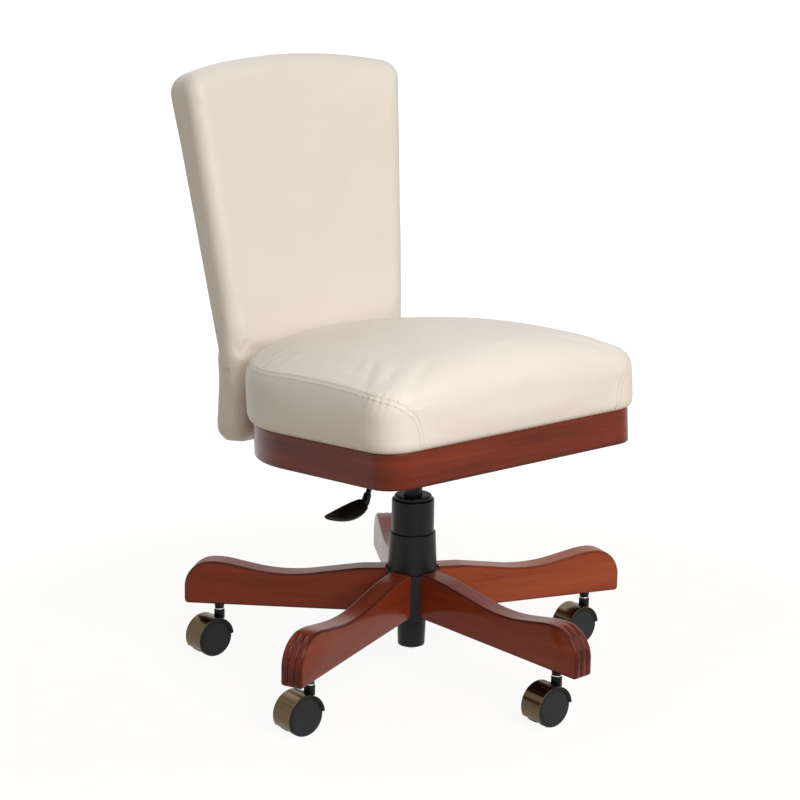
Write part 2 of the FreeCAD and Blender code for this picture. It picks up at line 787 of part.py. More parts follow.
def build_lever():
    """Bent lever rod with its tongue and pivot boss, and the sagging leaf-shaped paddle on its end."""
    pivot = Vector(lever_pivot_radius, 0, lever_pivot_z)
    bend = Vector(lever_bend_at, 0, lever_pivot_z)
    end = Vector(lever_end_at, 0, lever_end_z)
    run = (end - bend).normalize()
    half = math.acos(-run.x) / 2
    cut = lever_bend_radius / math.tan(half)
    start_arc = bend - Vector(cut, 0, 0)
    end_arc = bend + run * cut
    inward = (Vector(-1, 0, 0) + run).normalize()
    middle = bend + inward * (lever_bend_radius / math.sin(half) - lever_bend_radius)
    path = Part.Wire([
        Part.makeLine(pivot, start_arc),
        Part.Arc(start_arc, middle, end_arc).toShape(),
        Part.makeLine(end_arc, end),
    ])
    section = Part.Wire([Part.makeCircle(lever_rod_radius, pivot, Vector(1, 0, 0))])
    bar = path.makePipeShell([section], True, False)
    side = Vector(0, lever_boss_length / 2, 0)
    boss = rod(lever_boss_radius, pivot - side, pivot + side)
    tongue = block(
        Vector(-lever_tongue_width / 2, -lever_tongue_width / 2, lever_pivot_z - lever_tongue_thickness / 2),
        Vector(lever_pivot_radius, lever_tongue_width / 2, lever_pivot_z + lever_tongue_thickness / 2),
    )
    bar = bar.fuse(boss).fuse(tongue).cut(rod(lever_pin_radius + slide_gap, pivot - side, pivot + side))
    save("lever_rod", spun(bar.removeSplitter(), lever_angle))

    ferrule_start = end - run * paddle_ferrule_length
    ferrule = rod(paddle_ferrule_radius, ferrule_start, end + run * paddle_ferrule_radius)
    leaf = [
        (lever_end_at, -paddle_ferrule_radius, paddle_ferrule_radius / 2),
        (paddle_wide_at, -paddle_width / 2, paddle_width),
        (paddle_tip_at, 0, paddle_thickness / 2),
        (paddle_wide_at, paddle_width / 2, paddle_width),
        (lever_end_at, paddle_ferrule_radius, paddle_ferrule_radius / 2),
    ]
    floor = lever_end_z - paddle_width
    prism = outline_face(leaf, lambda u, v: Vector(u, v, floor)).extrude(UP * (2 * paddle_width))
    sag = [
        Vector(lever_end_at, -paddle_width, lever_end_z),
        Vector((lever_end_at + paddle_tip_at) / 2, -paddle_width, paddle_sag_z),
        Vector(paddle_tip_at, -paddle_width, paddle_tip_z),
    ]
    rise = UP * (paddle_thickness / 2)
    under = [point - rise for point in sag]
    over = [point + rise for point in sag]
    side_view = Part.Face(Part.Wire([
        Part.Arc(*under).toShape(),
        Part.makeLine(under[2], over[2]),
        Part.Arc(*over).toShape(),
        Part.makeLine(over[0], under[0]),
    ]))
    blade = prism.common(side_view.extrude(Vector(0, 2 * paddle_width, 0)))
    blade = blade.makeFillet(paddle_thickness / 3, blade.Edges)
    blade.rotate(end, Vector(1, 0, 0), paddle_roll)
    grip = blade.fuse(ferrule).removeSplitter()
    grip = grip.cut(rod(lever_rod_radius + slide_gap, ferrule_start, end))
    save("lever_paddle", spun(grip, lever_angle))


def build_casters():
    """Casters with the wheels trailing towards -X, and the stems and sockets in the legs."""
    hub_point = Vector(-caster_trail, 0, wheel_radius)
    across = Vector(0, 1, 0)

    def disc(radius, low, high):
        """Round plate on the wheel axis between two distances along it."""
        return rod(radius, hub_point + across * low, hub_point + across * high)

    def sector(inner, outer, half):
        """Hood-shaped band over the wheels, between two radii."""
        band = disc(outer, -half, half).cut(disc(inner, -half, half))
        wedge = [Vector()]
        for step in range(hood_facets + 1):
            angle = hood_rear_angle + (hood_front_angle - hood_rear_angle) * step / hood_facets
            turn = math.radians(angle)
            wedge.append(Vector(math.cos(turn), 0, math.sin(turn)) * (3 * wheel_radius))
        face = Part.Face(Part.makePolygon(wedge + wedge[:1]))
        face.translate(hub_point - across * half)
        return band.common(face.extrude(across * (2 * half)))

    fender_inner = wheel_radius + wheel_gap
    fender_outer = fender_inner + fender_wall
    wheel_space = fender_half - fender_lip_wall
    fender = sector(fender_outer - fender_lip, fender_outer, fender_half)
    fender = fender.cut(disc(fender_inner, -wheel_space, wheel_space))
    web = disc(fender_outer, -web_half, web_half)
    far = 4 * wheel_radius
    web = web.cut(block(Vector(-far, -web_half, -far), Vector(far, web_half, wheel_radius / 2)))
    step_z = wheel_radius + math.sqrt(fender_inner ** 2 - (caster_trail - boss_radius) ** 2)
    boss = Part.makeCylinder(boss_radius, boss_top_z - step_z, Vector(0, 0, step_z))
    neck = block(Vector(-boss_radius, -web_half, wheel_radius), Vector(boss_radius, web_half, step_z))
    body = web.fuse(fender).fuse(boss).fuse(neck).removeSplitter()
    bore_depth = spigot_depth + soft_gap
    bore_foot = Vector(0, 0, boss_top_z - bore_depth)
    body = body.cut(Part.makeCylinder(spigot_radius + axle_gap, bore_depth, bore_foot))
    body = body.cut(disc(axle_radius + axle_gap, -web_half, web_half))

    hood = sector(hood_inner, hood_inner + hood_wall, hood_half)
    clear = boss_radius + soft_gap
    hood = hood.cut(Part.makeCylinder(clear, boss_top_z))
    hood = hood.cut(block(Vector(0, -clear, wheel_radius), Vector(clear, clear, boss_top_z)))
    axle = disc(axle_radius, -axle_half, axle_half)

    def wheel(side):
        """One plain wheel with bevelled rims, an outer face that rises to a flat cap, and a blind bore."""
        rim = wheel_outer - wheel_dome
        reach = axle_half + axle_gap
        bore = axle_radius + axle_gap
        body = turned([
            (bore, wheel_inner),
            (wheel_radius - wheel_bevel, wheel_inner),
            (wheel_radius, wheel_inner + wheel_bevel),
            (wheel_radius, rim - wheel_bevel),
            (wheel_radius - wheel_bevel, rim),
            (wheel_cap_radius, wheel_outer),
            (0, wheel_outer),
            (0, reach),
            (bore, reach),
        ])
        body.rotate(Vector(), Vector(1, 0, 0), -90 * side)
        return moved_to(body, hub_point)

    pieces = {
        "caster_hood": hood,
        "caster_body": body,
        "caster_axle": axle,
        "wheel_left": wheel(1),
        "wheel_right": wheel(-1),
    }
    stem = turned([
        (0, boss_top_z - spigot_depth),
        (spigot_radius, boss_top_z - spigot_depth),
        (spigot_radius, boss_top_z + soft_gap),
        (stem_ring_radius, boss_top_z + soft_gap),
        (stem_ring_radius, shank_foot_z),
        (shank_radius, shank_foot_z),
        (shank_radius, socket_top_z - soft_gap),
        (0, socket_top_z - soft_gap),
    ])
    grip = shank_radius + axle_gap
    socket = turned([
        (grip, shank_foot_z),
        (ferrule_foot_radius, shank_foot_z),
        (ferrule_top_radius, ferrule_top_z),
        (shank_radius + socket_wall, ferrule_top_z),
        (shank_radius + socket_wall, socket_top_z),
        (grip, socket_top_z),
    ])
    stems = []
    sockets = []
    for number, angle in enumerate(leg_angles):
        place = spun(Part.Vertex(Vector(caster_circle, 0, 0)), angle).Point
        for name, shape in pieces.items():
            save("%s_%d" % (name, number + 1), moved_to(shape, place))
        stems.append(moved_to(stem, place))
        sockets.append(moved_to(socket, place))
    save("caster_stems", *stems)
    save("caster_sockets", *sockets)


build_seat()
build_back()
build_legs()
build_hub()
build_column()
build_plate()
build_lever()
build_casters()
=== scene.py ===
"""Covers, finishes and studio of the swivel game-room chair.

Sizes are millimetres in the chair's own frame: +Z up, the floor at zero, the column's axis at x = y = 0,
the sitter facing -Y. Each mesh is scaled to metres when it is made.
"""
import json
import math

import bmesh
import bpy
import numpy as np
from mathutils import Matrix, Vector
from mathutils.bvhtree import BVHTree


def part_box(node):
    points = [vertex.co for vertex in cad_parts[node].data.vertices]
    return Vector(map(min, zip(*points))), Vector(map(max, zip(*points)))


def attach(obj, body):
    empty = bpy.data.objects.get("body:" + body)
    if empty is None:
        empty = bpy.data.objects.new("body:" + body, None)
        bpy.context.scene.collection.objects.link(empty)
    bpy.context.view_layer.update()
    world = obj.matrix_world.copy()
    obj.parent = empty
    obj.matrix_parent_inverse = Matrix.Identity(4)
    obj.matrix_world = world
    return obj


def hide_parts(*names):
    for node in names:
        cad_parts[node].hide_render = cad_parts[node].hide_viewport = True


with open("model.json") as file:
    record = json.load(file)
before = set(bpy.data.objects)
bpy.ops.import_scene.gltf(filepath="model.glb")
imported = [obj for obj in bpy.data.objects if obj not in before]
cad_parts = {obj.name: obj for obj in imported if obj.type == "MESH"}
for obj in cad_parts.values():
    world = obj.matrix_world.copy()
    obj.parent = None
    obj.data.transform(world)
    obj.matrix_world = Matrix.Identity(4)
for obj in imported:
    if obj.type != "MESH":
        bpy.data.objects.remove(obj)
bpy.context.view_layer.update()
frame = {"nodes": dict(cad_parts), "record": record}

scene = bpy.context.scene
METRE = 0.001
SLOTS = {part["node"]: part["material_slot"] for part in frame["record"]["subparts"]}
BODIES = {name: body for body, names in frame["record"]["behaviour"]["bodies"].items() for name in names}

# Seat, in its own pitched frame with heights from the apron's lower edge
seat_width = 482.0
seat_front = 241.0
seat_rear = 217.0
front_corner_radius = 42.0
rear_flat = 72.0
apron_height = 52.4
apron_wall = 20.0
apron_foot_round = 3.0
apron_top_round = 1.5
apron_tone = 0.7
apron_step = 1.2
apron_steps = 480
apron_bottom_z = 355.0
seat_pitch = math.radians(4.6)
cushion_overhang = 8.0
cushion_tuck = 9.5
cushion_roll = 16.0
underside_rise = 6.0
underside_run = 0.08
crown_height = 128.0
crown_peak_y = -40.0
crown_radius_across = 1100.0
crown_radius_along = 1650.0
shoulder_radius = 36.0
seat_swell = 4.0
held_height = 8.0
seat_curved_rings = 10
seat_side_rows = 16
seat_row_bias = 1.2

# Covers
cover_flat_rings = 30
cover_pressure = 4.0
cover_steps = 20

# Seam and thread
seam_half = 6.0
seam_ridge = 0.55
seam_sink = 1.2
seam_bed = 0.25
seam_held = 1.4
seam_steps = 17
ridge_place = 0.38
ridge_spread = 0.22
valley_depth = 0.35
valley_spread = 0.1
seat_seam_turn = 72.0
seat_seam_dive = 189.0
seat_seam_place = 1.44
stitch_pitch = 5.2
stitch_length = 3.7
stitch_aside = 3.1
stitch_start = 0.8
thread_radius = 0.42
thread_sides = 6
# Rings of one stitch: share of its length from the middle, lift over the cover, share of the thread's radius
STITCH = ((-0.5, -0.15, 0.5), (-0.36, 0.5, 0.95), (0.0, 0.77, 1.0), (0.36, 0.5, 0.95), (0.5, -0.15, 0.5))
pucker_place = 112.0
pucker_spread = 40.0
pucker_reach = 15.0
pucker_pitch = 11.0
pucker_height = 0.8

# Back
back_gap = 3.0
back_bottom_z = 336.0
back_kink_z = 467.0
back_top_z = 919.5
back_arch_rise = 23.5
back_low_width = 345.5
back_top_width = 414.0
back_low_thickness = 84.0
back_kink_thickness = 61.5
back_top_thickness = 80.0
back_recline = math.radians(9.5)
back_plan_radius = 750.0
back_corner_radius = 30.0
back_bend_radius = 90.0
back_front_round = 29.0
back_rear_round = 20.0
back_top_ease = 12.0
back_top_spare = 2.5
back_middle_slope = 175.0
back_swell = 3.0
back_held = 1.0
back_curved_rings = 9
back_side_rows = 6
cushion_bulge = 7.0

# Five-leg base
leg_count = 5
first_leg_angle = 57.8
leg_reach = 358.5
leg_thickness = 35.0
leg_tip_bottom_z = 81.0
leg_hub_bottom_z = 90.0
leg_hub_top_z = 161.0
leg_waist = (203.0, 136.0)
leg_hump = (300.0, 152.5)
leg_tip_top_z = 150.0
leg_tip_round = 45.0
leg_heel_round = 6.0
leg_edge_round = 4.0
leg_gap = 0.2
rim_steps = 43
edge_steps = 7
reed_count = 3
reed_fullness = 1.94
reed_depth = 2.6
reed_start = 312.0
reed_fade = 24.0
hub_radius = 41.0
hub_bottom_z = 87.0
hub_top_z = 158.0
# How much darker the legs' wood is drawn along its eased arrises, and in its end grain, where stain soaks in
arris_darkening = 1.2
end_stain = 0.8
# Shift of each leg's darkening: the fourth leg darker, the fifth much lighter
LEG_TONES = (0.0, 0.1, 0.15, 0.3, -0.8)
GRAIN_SHIFT = (1.0, 0.37, 0.61)

# Column
tube_radius = 25.0
tube_foot_radius = 20.7
tube_foot_z = 37.0
tube_wall = 2.0
collar_top_z = 219.0
collar_foot_radius = 38.0
collar_top_radius = 35.2
cover_radius = 32.5
column_top_z = 271.0
bush_flange_radius = 28.7
bush_flange = 6.0
cylinder_radius = 14.0

# Casters
caster_circle = 306.0
caster_trail = 18.8
wheel_radius = 30.0
wheel_inner = 6.5
wheel_outer = 18.2
wheel_ease = 2.0
wheel_steps = 64
# Outer shoulder and groove of a wheel: in from the tread, in from the outer face
WHEEL_SHOULDER = ((0.0, 3.2), (0.7, 1.4), (2.2, 0.6), (4.6, 0.35), (5.0, 0.9), (5.4, 0.35))
wheel_dish_radius = 16.5
wheel_dish = 0.1
fender_inner = 30.5
fender_outer = 31.4
fender_lip = 27.4
fender_half = 19.0
lip_thickness = 0.5
hood_radius = 32.35
hood_wall = 0.8
hood_half = 19.3
hood_start = math.radians(5.0)
hood_end = math.radians(209.0)
hood_window = (math.radians(31.0), math.radians(72.0))
hood_lip = 0.25
web_start = math.radians(-15.0)
web_end = math.radians(205.0)
web_half = 6.0
axle_radius = 3.0
boss_radius = 8.25
boss_foot_z = 55.0
boss_top_z = 70.0
stem_gap = 0.3
stem_below = 10.0
stem_above = 4.0
stem_core = 0.5
stem_ring_radius = 7.6
stem_ring_height = 2.2
shank_radius = 5.5
ferrule_foot_radius = 7.0
ferrule_top_radius = 8.6
socket_gap = 0.1
socket_wall = 1.5

# Lever
lever_angle = math.radians(198.0)
lever_end = (133.0, 296.0)
lever_bend = (92.0, 367.0)
lever_rod_radius = 4.0
paddle_tip = (240.0, 300.5)
paddle_sag_z = 284.0
paddle_width = 25.0
paddle_thickness = 8.0
paddle_ferrule_radius = 6.5
paddle_ferrule_length = 14.0
paddle_roll = math.radians(-35.0)
paddle_open = 0.06
paddle_lean = 0.85
paddle_fullness = 0.75
paddle_squareness = 0.8

# Camera, as the chair was photographed
view_azimuth = math.radians(-39.64)
view_elevation = math.radians(13.961)
view_roll = math.radians(0.703)
view_distance = 3489.77
view_aim = (-21.814, 424.22)
focal_pixels = 2315.264
frame_pixels = 800
sensor_mm = 36.0

# Studio
floor_side = 30000.0
floor_strength = 1.15
floor_shade = (0.5, 0.44, 0.36, 1)
floor_glow = 0.8
floor_fade = (0.7, 1.6)
room_low = (0.07, 0.062, 0.054, 1)
room_high = (0.62, 0.62, 0.63, 1)
lamp_aim = (0, 0, 0.45)
# Place, size and power of each lamp
LAMPS = {
    "key": ((-0.4, -2.2, 1.75), 2.0, 52.0),
    "rear": ((0.8, 3.0, 3.0), 2.6, 16.0),
}


# Lines and grids

def unit(vectors):
    """Vectors scaled to length one along their last axis."""
    return vectors / np.maximum(np.linalg.norm(vectors, axis=-1, keepdims=True), 1e-12)


def lengths(line):
    """Distance of each point of a polyline from its start."""
    steps = np.linalg.norm(np.diff(line, axis=0), axis=-1)
    return np.concatenate([[0.0], np.cumsum(steps)])


def at_lengths(line, places):
    """Points at the given distances along a polyline."""
    reach = lengths(line)
    return np.stack([np.interp(places, reach, column) for column in line.T], -1)


def spaced(line, step):
    """Polyline redrawn with even steps of about the given length."""
    whole = lengths(line)[-1]
    return at_lengths(line, np.linspace(0, whole, int(whole / step) + 2))


def rounded(corners, closed=True, arc_step=math.radians(3)):
    """Polyline through (u, v, radius) corners: straight runs joined by each corner's tangent arc."""
    here = np.array([corner[:2] for corner in corners], float)
    radii = np.array([corner[2] for corner in corners], float)
    behind = unit(np.roll(here, 1, 0) - here)
    ahead = unit(np.roll(here, -1, 0) - here)
    half = np.arccos(np.clip((behind * ahead).sum(1), -1, 1)) / 2
    centre = here + unit(behind + ahead) * (radii / np.sin(half))[:, None]
    arms = here + behind * (radii / np.tan(half))[:, None] - centre
    sweep = np.sign(behind[:, 1] * ahead[:, 0] - behind[:, 0] * ahead[:, 1]) * (np.pi - 2 * half)
    runs = []
    for index, radius in enumerate(radii):
        if radius == 0:
            runs.append(here[index:index + 1])
            continue
        turn = np.linspace(0, sweep[index], max(4, int(abs(sweep[index]) / arc_step) + 2))
        u, v = arms[index]
        arc = np.stack([u * np.cos(turn) - v * np.sin(turn), u * np.sin(turn) + v * np.cos(turn)], -1)
        runs.append(centre[index] + arc)
    line = np.concatenate(runs)
    return np.concatenate([line, line[:1]]) if closed else line


def grid_faces(rows, columns, wrap_rows=False, wrap_columns=False):
    """Quads of a grid numbered row by row; a wrapped direction joins its last line to its first."""
    row = np.arange(rows if wrap_rows else rows - 1)[:, None]
    column = np.arange(columns if wrap_columns else columns - 1)[None, :]
    next_row = (row + 1) % rows * columns
    next_column = (column + 1) % columns
    row = row * columns
    corners = [row + column, row + next_column, next_row + next_column, next_row + column]
    return np.stack(np.broadcast_arrays(*corners), -1).reshape(-1, 4)


def welded(patches, tolerance=1e-3):
    """Joins (points, quads) patches into one mesh: points that coincide become one, thin quads triangles."""
    points = np.concatenate([patch[0].reshape(-1, 3) for patch in patches])
    starts = np.cumsum([0] + [patch[0].size // 3 for patch in patches[:-1]])
    quads = np.concatenate([patch[1] + start for patch, start in zip(patches, starts)])
    keys = np.round(points / tolerance).astype(np.int64)
    _, first, place = np.unique(keys, axis=0, return_index=True, return_inverse=True)
    quads = place.reshape(-1)[quads]
    double = quads == np.roll(quads, 1, 1)
    whole = quads[~double.any(1)].tolist()
    thin = quads[double.sum(1) == 1]
    return points[first], whole + thin[~double[double.sum(1) == 1]].reshape(-1, 3).tolist()


def square_rings(rings):
    """Square lattice as rings about its middle: each point's ring, and its place round it from 0 to 4."""
    line = np.arange(-rings, rings + 1)
    i, j = np.meshgrid(line, line)
    ring = np.maximum(abs(i), abs(j))
    side = 2 * np.maximum(ring, 1)
    places = [(i + ring) / side, 1 + (j + ring) / side, 2 + (ring - i) / side]
    return ring, np.select([j == -ring, i == ring, j == ring], places, 3 + (ring - j) / side)


# Pieces

def loose_object(name, points, faces):
    """Mesh object of points in millimetres, linked to the scene."""
    mesh = bpy.data.meshes.new(name)
    mesh.from_pydata((points.reshape(-1, 3) * METRE).tolist(), [], [list(face) for face in faces])
    made = bpy.data.objects.new(name, mesh)
    scene.collection.objects.link(made)
    return made


def evaluated(made):
    """Mesh of an object after its modifiers."""
    return made.evaluated_get(bpy.context.evaluated_depsgraph_get()).data


def vectors_of(mesh, field):
    """Places or normals of a mesh's points, one row each."""
    flat = np.empty(len(mesh.vertices) * 3, np.float32)
    mesh.vertices.foreach_get(field, flat)
    return flat.reshape(-1, 3)


def discard(made):
    """Removes a working object and its mesh."""
    mesh = made.data
    bpy.data.objects.remove(made)
    bpy.data.meshes.remove(mesh)


def make_piece(name, shell, finish, body, nodes=(), crease=40):
    """Smooth-shaded shell of points and faces that rides on a body and stands for CAD nodes."""
    piece = loose_object(name, *shell)
    mesh = piece.data
    turned = bmesh.new()
    turned.from_mesh(mesh)
    bmesh.ops.recalc_face_normals(turned, faces=turned.faces)
    turned.to_mesh(mesh)
    turned.free()
    mesh.shade_smooth()
    mesh.set_sharp_from_angle(angle=math.radians(crease))
    mesh.materials.append(finish)
    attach(piece, body)
    if nodes:
        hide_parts(*nodes)
    return piece


def stand_in(name, shell, crease=40, also=(), finish=None):
    """Piece for the CAD node of its name, and others inside it, on its body and in its slot's finish."""
    slot = SLOTS[name]
    return make_piece(name, shell, finish or FINISHES[slot], BODIES[name], [name, *also], crease)


def set_grain(piece, places, stain_and_shade):
    """Gives each point of a wooden piece its place in the timber, along, across and through, and how much
    darker
    its wood is drawn there: real stain, and painted shade in the legs' reed grooves and on the apron's
    underside."""
    grain = piece.data.attributes.new("grain", "FLOAT_VECTOR", "POINT")
    grain.data.foreach_set("vector", (places * METRE).astype(np.float32).ravel())
    # Darkening per point: real stain, and painted shade in grooves and under the apron
    depth = piece.data.attributes.new("stain_and_shade", "FLOAT", "POINT")
    depth.data.foreach_set("value", stain_and_shade.astype(np.float32).ravel())


def tube_faces(rows, columns, closed):
    """Quads of a tube of rings; an open tube gets a flat face at each end."""
    faces = grid_faces(rows, columns, closed, True).tolist()
    if not closed:
        last = (rows - 1) * columns
        faces.append(list(range(columns)))
        faces.append(list(range(last, last + columns)))
    return faces


def revolved(profile, segments=96, start=0.0, end=2 * math.pi):
    """Closed (radius, height) profile turned about Z; a part turn gets flat ends. Gives points and faces."""
    radius, height = np.asarray(profile)[:-1].T
    full = end - start > 2 * math.pi - 1e-6
    turn = np.linspace(start, end, segments + 1)[:segments if full else None, None]
    points = np.stack(np.broadcast_arrays(radius * np.cos(turn), radius * np.sin(turn), height), -1)
    return points.reshape(-1, 3), tube_faces(len(turn), len(radius), full)


def assembled(shells):
    """Several closed shells of points and faces as one list of points and one of faces."""
    points = []
    faces = []
    count = 0
    for shell_points, shell_faces in shells:
        points.append(shell_points)
        faces.extend([[index + count for index in face] for face in shell_faces])
        count += len(shell_points)
    return np.concatenate(points), faces


def on_wheel_axis(shell, centre):
    """Takes a shell turned about Z to a wheel's axis: its Z runs along Y, and its turn starts at +X."""
    points, faces = shell
    x, y, z = points.T
    return np.stack([x, z, y], -1) + centre, faces


def swelled(points, faces, held, most):
    """Air pressure pushes a sewn cover out between its held points; no point moves by more than `most`."""
    cover = loose_object("swelling", points, faces)
    group = cover.vertex_groups.new(name="held")
    group.add(np.flatnonzero(held).tolist(), 1.0, "REPLACE")
    cloth = cover.modifiers.new("Cloth", "CLOTH")
    cloth.collision_settings.use_collision = False
    fabric = cloth.settings
    fabric.vertex_group_mass = "held"
    fabric.use_pressure = True
    fabric.uniform_pressure_force = cover_pressure
    fabric.effector_weights.gravity = 0.0
    for step in range(1, cover_steps + 1):
        scene.frame_set(step)
    shift = vectors_of(evaluated(cover), "co") / METRE - points
    discard(cover)
    scene.frame_set(1)
    far = np.linalg.norm(shift, axis=1, keepdims=True)
    return points + shift * np.minimum(1.0, most / np.maximum(far, 1e-9))


def refined(points, faces):
    """Mesh after one Catmull-Clark step: its points, their outward normals and its faces."""
    coarse = loose_object("refining", points, faces)
    step = coarse.modifiers.new("Step", "SUBSURF")
    step.levels = step.render_levels = 1
    fine = evaluated(coarse)
    places = vectors_of(fine, "co") / METRE
    normals = vectors_of(fine, "normal")
    corners = np.empty(len(fine.loops), np.int32)
    fine.loops.foreach_get("vertex_index", corners)
    discard(coarse)
    outward = np.sign((normals * (places - places.mean(0))).sum())
    return places, normals * outward, corners.reshape(-1, 4).tolist()


def settled(piece, points):
    """Points moved to the nearest places on a finished piece."""
    tree = BVHTree.FromObject(piece, bpy.context.evaluated_depsgraph_get())
    near = [tree.find_nearest(Vector(point))[0] for point in points.reshape(-1, 3) * METRE]
    return np.array(near).reshape(points.shape) / METRE


# Finishes

def new_finish(name):
    """Empty material with a Principled shader; gives the material, its tree and the shader."""
    finish = bpy.data.materials.new(name)
    finish.use_nodes = True
    return finish, finish.node_tree, finish.node_tree.nodes["Principled BSDF"]


def feed(tree, made, inputs):
    """Gives a node its inputs, each a value or another node's output."""
    for name, value in inputs.items():
        if isinstance(value, bpy.types.NodeSocket):
            tree.links.new(value, made.inputs[name])
        else:
            made.inputs[name].default_value = value


def node(tree, kind, inputs=None, **settings):
    """Shader node with its settings and inputs."""
    made = tree.nodes.new("ShaderNode" + kind)
    for name, value in settings.items():
        setattr(made, name, value)
    feed(tree, made, inputs or {})
    return made


def worked(tree, operation, *values):
    """Result of a sum on shader values."""
    return node(tree, "Math", dict(enumerate(values)), operation=operation).outputs["Value"]


def linear(red, green, blue):
    """Colour written as 0 to 255 sRGB, as the shader's linear values."""
    shares = [channel / 255 for channel in (red, green, blue)]
    return tuple(c / 12.92 if c <= 0.04045 else ((c + 0.055) / 1.055) ** 2.4 for c in shares) + (1.0,)


def ramp(tree, factor, *stops):
    """Colour ramp over (place, colour) stops."""
    made = node(tree, "ValToRGB", {"Fac": factor})
    while len(made.color_ramp.elements) < len(stops):
        made.color_ramp.elements.new(0.5)
    for element, (place, colour) in zip(made.color_ramp.elements, stops):
        element.position = place
        element.color = colour
    return made.outputs["Color"]


def tones(tree, factor, *stops):
    """Colour ramp over (place, sRGB colour) stops."""
    return ramp(tree, factor, *[(place, linear(*colour)) for place, colour in stops])


def stretched_noise(tree, place, stretch, detail=3.0):
    """Noise read at a place stretched by one number, or by its own along each axis."""
    scale = stretch if isinstance(stretch, tuple) else (stretch,) * 3
    mapped = node(tree, "Mapping", {"Vector": place, "Scale": scale}).outputs["Vector"]
    return node(tree, "TexNoise", {"Vector": mapped, "Scale": 1.0, "Detail": detail}).outputs["Fac"]


def span(tree, value, low, high):
    """A 0 to 1 value carried to a range."""
    return node(tree, "MapRange", {"Value": value, "To Min": low, "To Max": high}).outputs["Result"]


def bump(tree, height, distance, strength, under=None):
    """Surface relief of a height field."""
    inputs = {"Height": height, "Distance": distance, "Strength": strength}
    if under:
        inputs["Normal"] = under
    return node(tree, "Bump", inputs).outputs["Normal"]


def finish_leather():
    """Cream leather: pebbled grain, faint clouding of the dye and a soft sheen."""
    finish, tree, shader = new_finish("cream_leather")
    place = node(tree, "TexCoord").outputs["Object"]
    cloud = stretched_noise(tree, place, 7)
    fleck = stretched_noise(tree, place, 260, 2)
    crease = stretched_noise(tree, place, 95, 5)
    pull = stretched_noise(tree, place, (34, 34, 9))
    cells = node(tree, "TexVoronoi", {"Vector": place, "Scale": 720.0}, feature="SMOOTH_F1")
    dye = worked(tree, "ADD", cloud, span(tree, fleck, -0.1, 0.1))
    pebble = bump(tree, cells.outputs["Distance"], 0.00018, 0.22)
    soft = bump(tree, crease, 0.0009, 0.16, pebble)
    feed(tree, shader, {
        "Base Color": tones(tree, dye, (0.25, (230, 219, 206)), (0.75, (235, 226, 214))),
        "Roughness": span(tree, fleck, 0.40, 0.54),
        "Normal": bump(tree, pull, 0.004, 0.14, soft),
        "Specular IOR Level": 0.42,
    })
    return finish


def finish_cherry():
    """Cherry stain on hardwood under clear lacquer: long grain, pores and slow changes of tone, made darker
    per point by real stain and by painted shade in grooves and undersides.
    """
    finish, tree, shader = new_finish("cherry_wood")
    place = node(tree, "Attribute", attribute_name="grain").outputs["Vector"]
    slow = stretched_noise(tree, place, (3.2, 42, 42))
    streak = stretched_noise(tree, place, (9, 380, 380), 5)
    pores = stretched_noise(tree, place, (60, 1900, 1900), 2)
    tone = worked(tree, "ADD", span(tree, slow, 0.2, 0.8), span(tree, streak, -0.1, 0.1))
    # Per-point darkening: real stain, and painted shade in the legs' reed grooves and on the apron's
    # underside
    stain_and_shade_depth = node(tree, "Attribute", attribute_name="stain_and_shade").outputs["Fac"]
    tone = worked(tree, "MULTIPLY_ADD", stain_and_shade_depth, -0.3, tone)
    stain = tones(tree, tone, (0.1, (78, 26, 14)), (0.35, (120, 47, 24)), (0.55, (140, 58, 31)),
                  (0.85, (168, 80, 45)))
    pits = tones(tree, pores, (0.30, (62, 22, 16)), (0.46, (255, 255, 255)))
    mixed = node(tree, "Mix", {"Factor": 0.25, "A": stain, "B": pits}, data_type="RGBA",
                 blend_type="MULTIPLY")
    feed(tree, shader, {
        "Base Color": mixed.outputs[2],
        "Roughness": span(tree, streak, 0.30, 0.44),
        "Normal": bump(tree, streak, 0.0002, 0.10),
        "Specular IOR Level": 0.06,
        "Coat Weight": 0.5,
        "Coat IOR": 1.3,
        "Coat Roughness": 0.12,
    })
    return finish


def finish_noise(name, dark, light, rough, stretch, detail=3, relief=None, skin=None, sockets=None):
    """Finish whose tone, and roughness where it has a range, follow one noise; relief is (depth, strength) of
    that noise, or of a finer skin."""
    finish, tree, shader = new_finish(name)
    place = node(tree, "TexCoord").outputs["Object"]
    grain = stretched_noise(tree, place, stretch, detail)
    look = {
        "Base Color": tones(tree, grain, (0.3, dark), (0.7, light)),
        "Roughness": span(tree, grain, *rough) if isinstance(rough, tuple) else rough,
        **(sockets or {}),
    }
    if relief:
        look["Normal"] = bump(tree, stretched_noise(tree, place, skin) if skin else grain, *relief)
    feed(tree, shader, look)
    return finish


def finish_black(name, dark, light, rough, texture):
    """Black paint or plastic: a faint smear of tone over a fine moulded or sprayed skin."""
    return finish_noise(name, dark, light, rough, 38, relief=(0.00012, 0.18), skin=texture,
                        sockets={"Specular IOR Level": 0.2})


def finish_metal(name, dark, light, rough, brush):
    """Bare metal brushed along one axis."""
    return finish_noise(name, dark, light, rough, brush, relief=(0.00006, 0.12), sockets={"Metallic": 1.0})


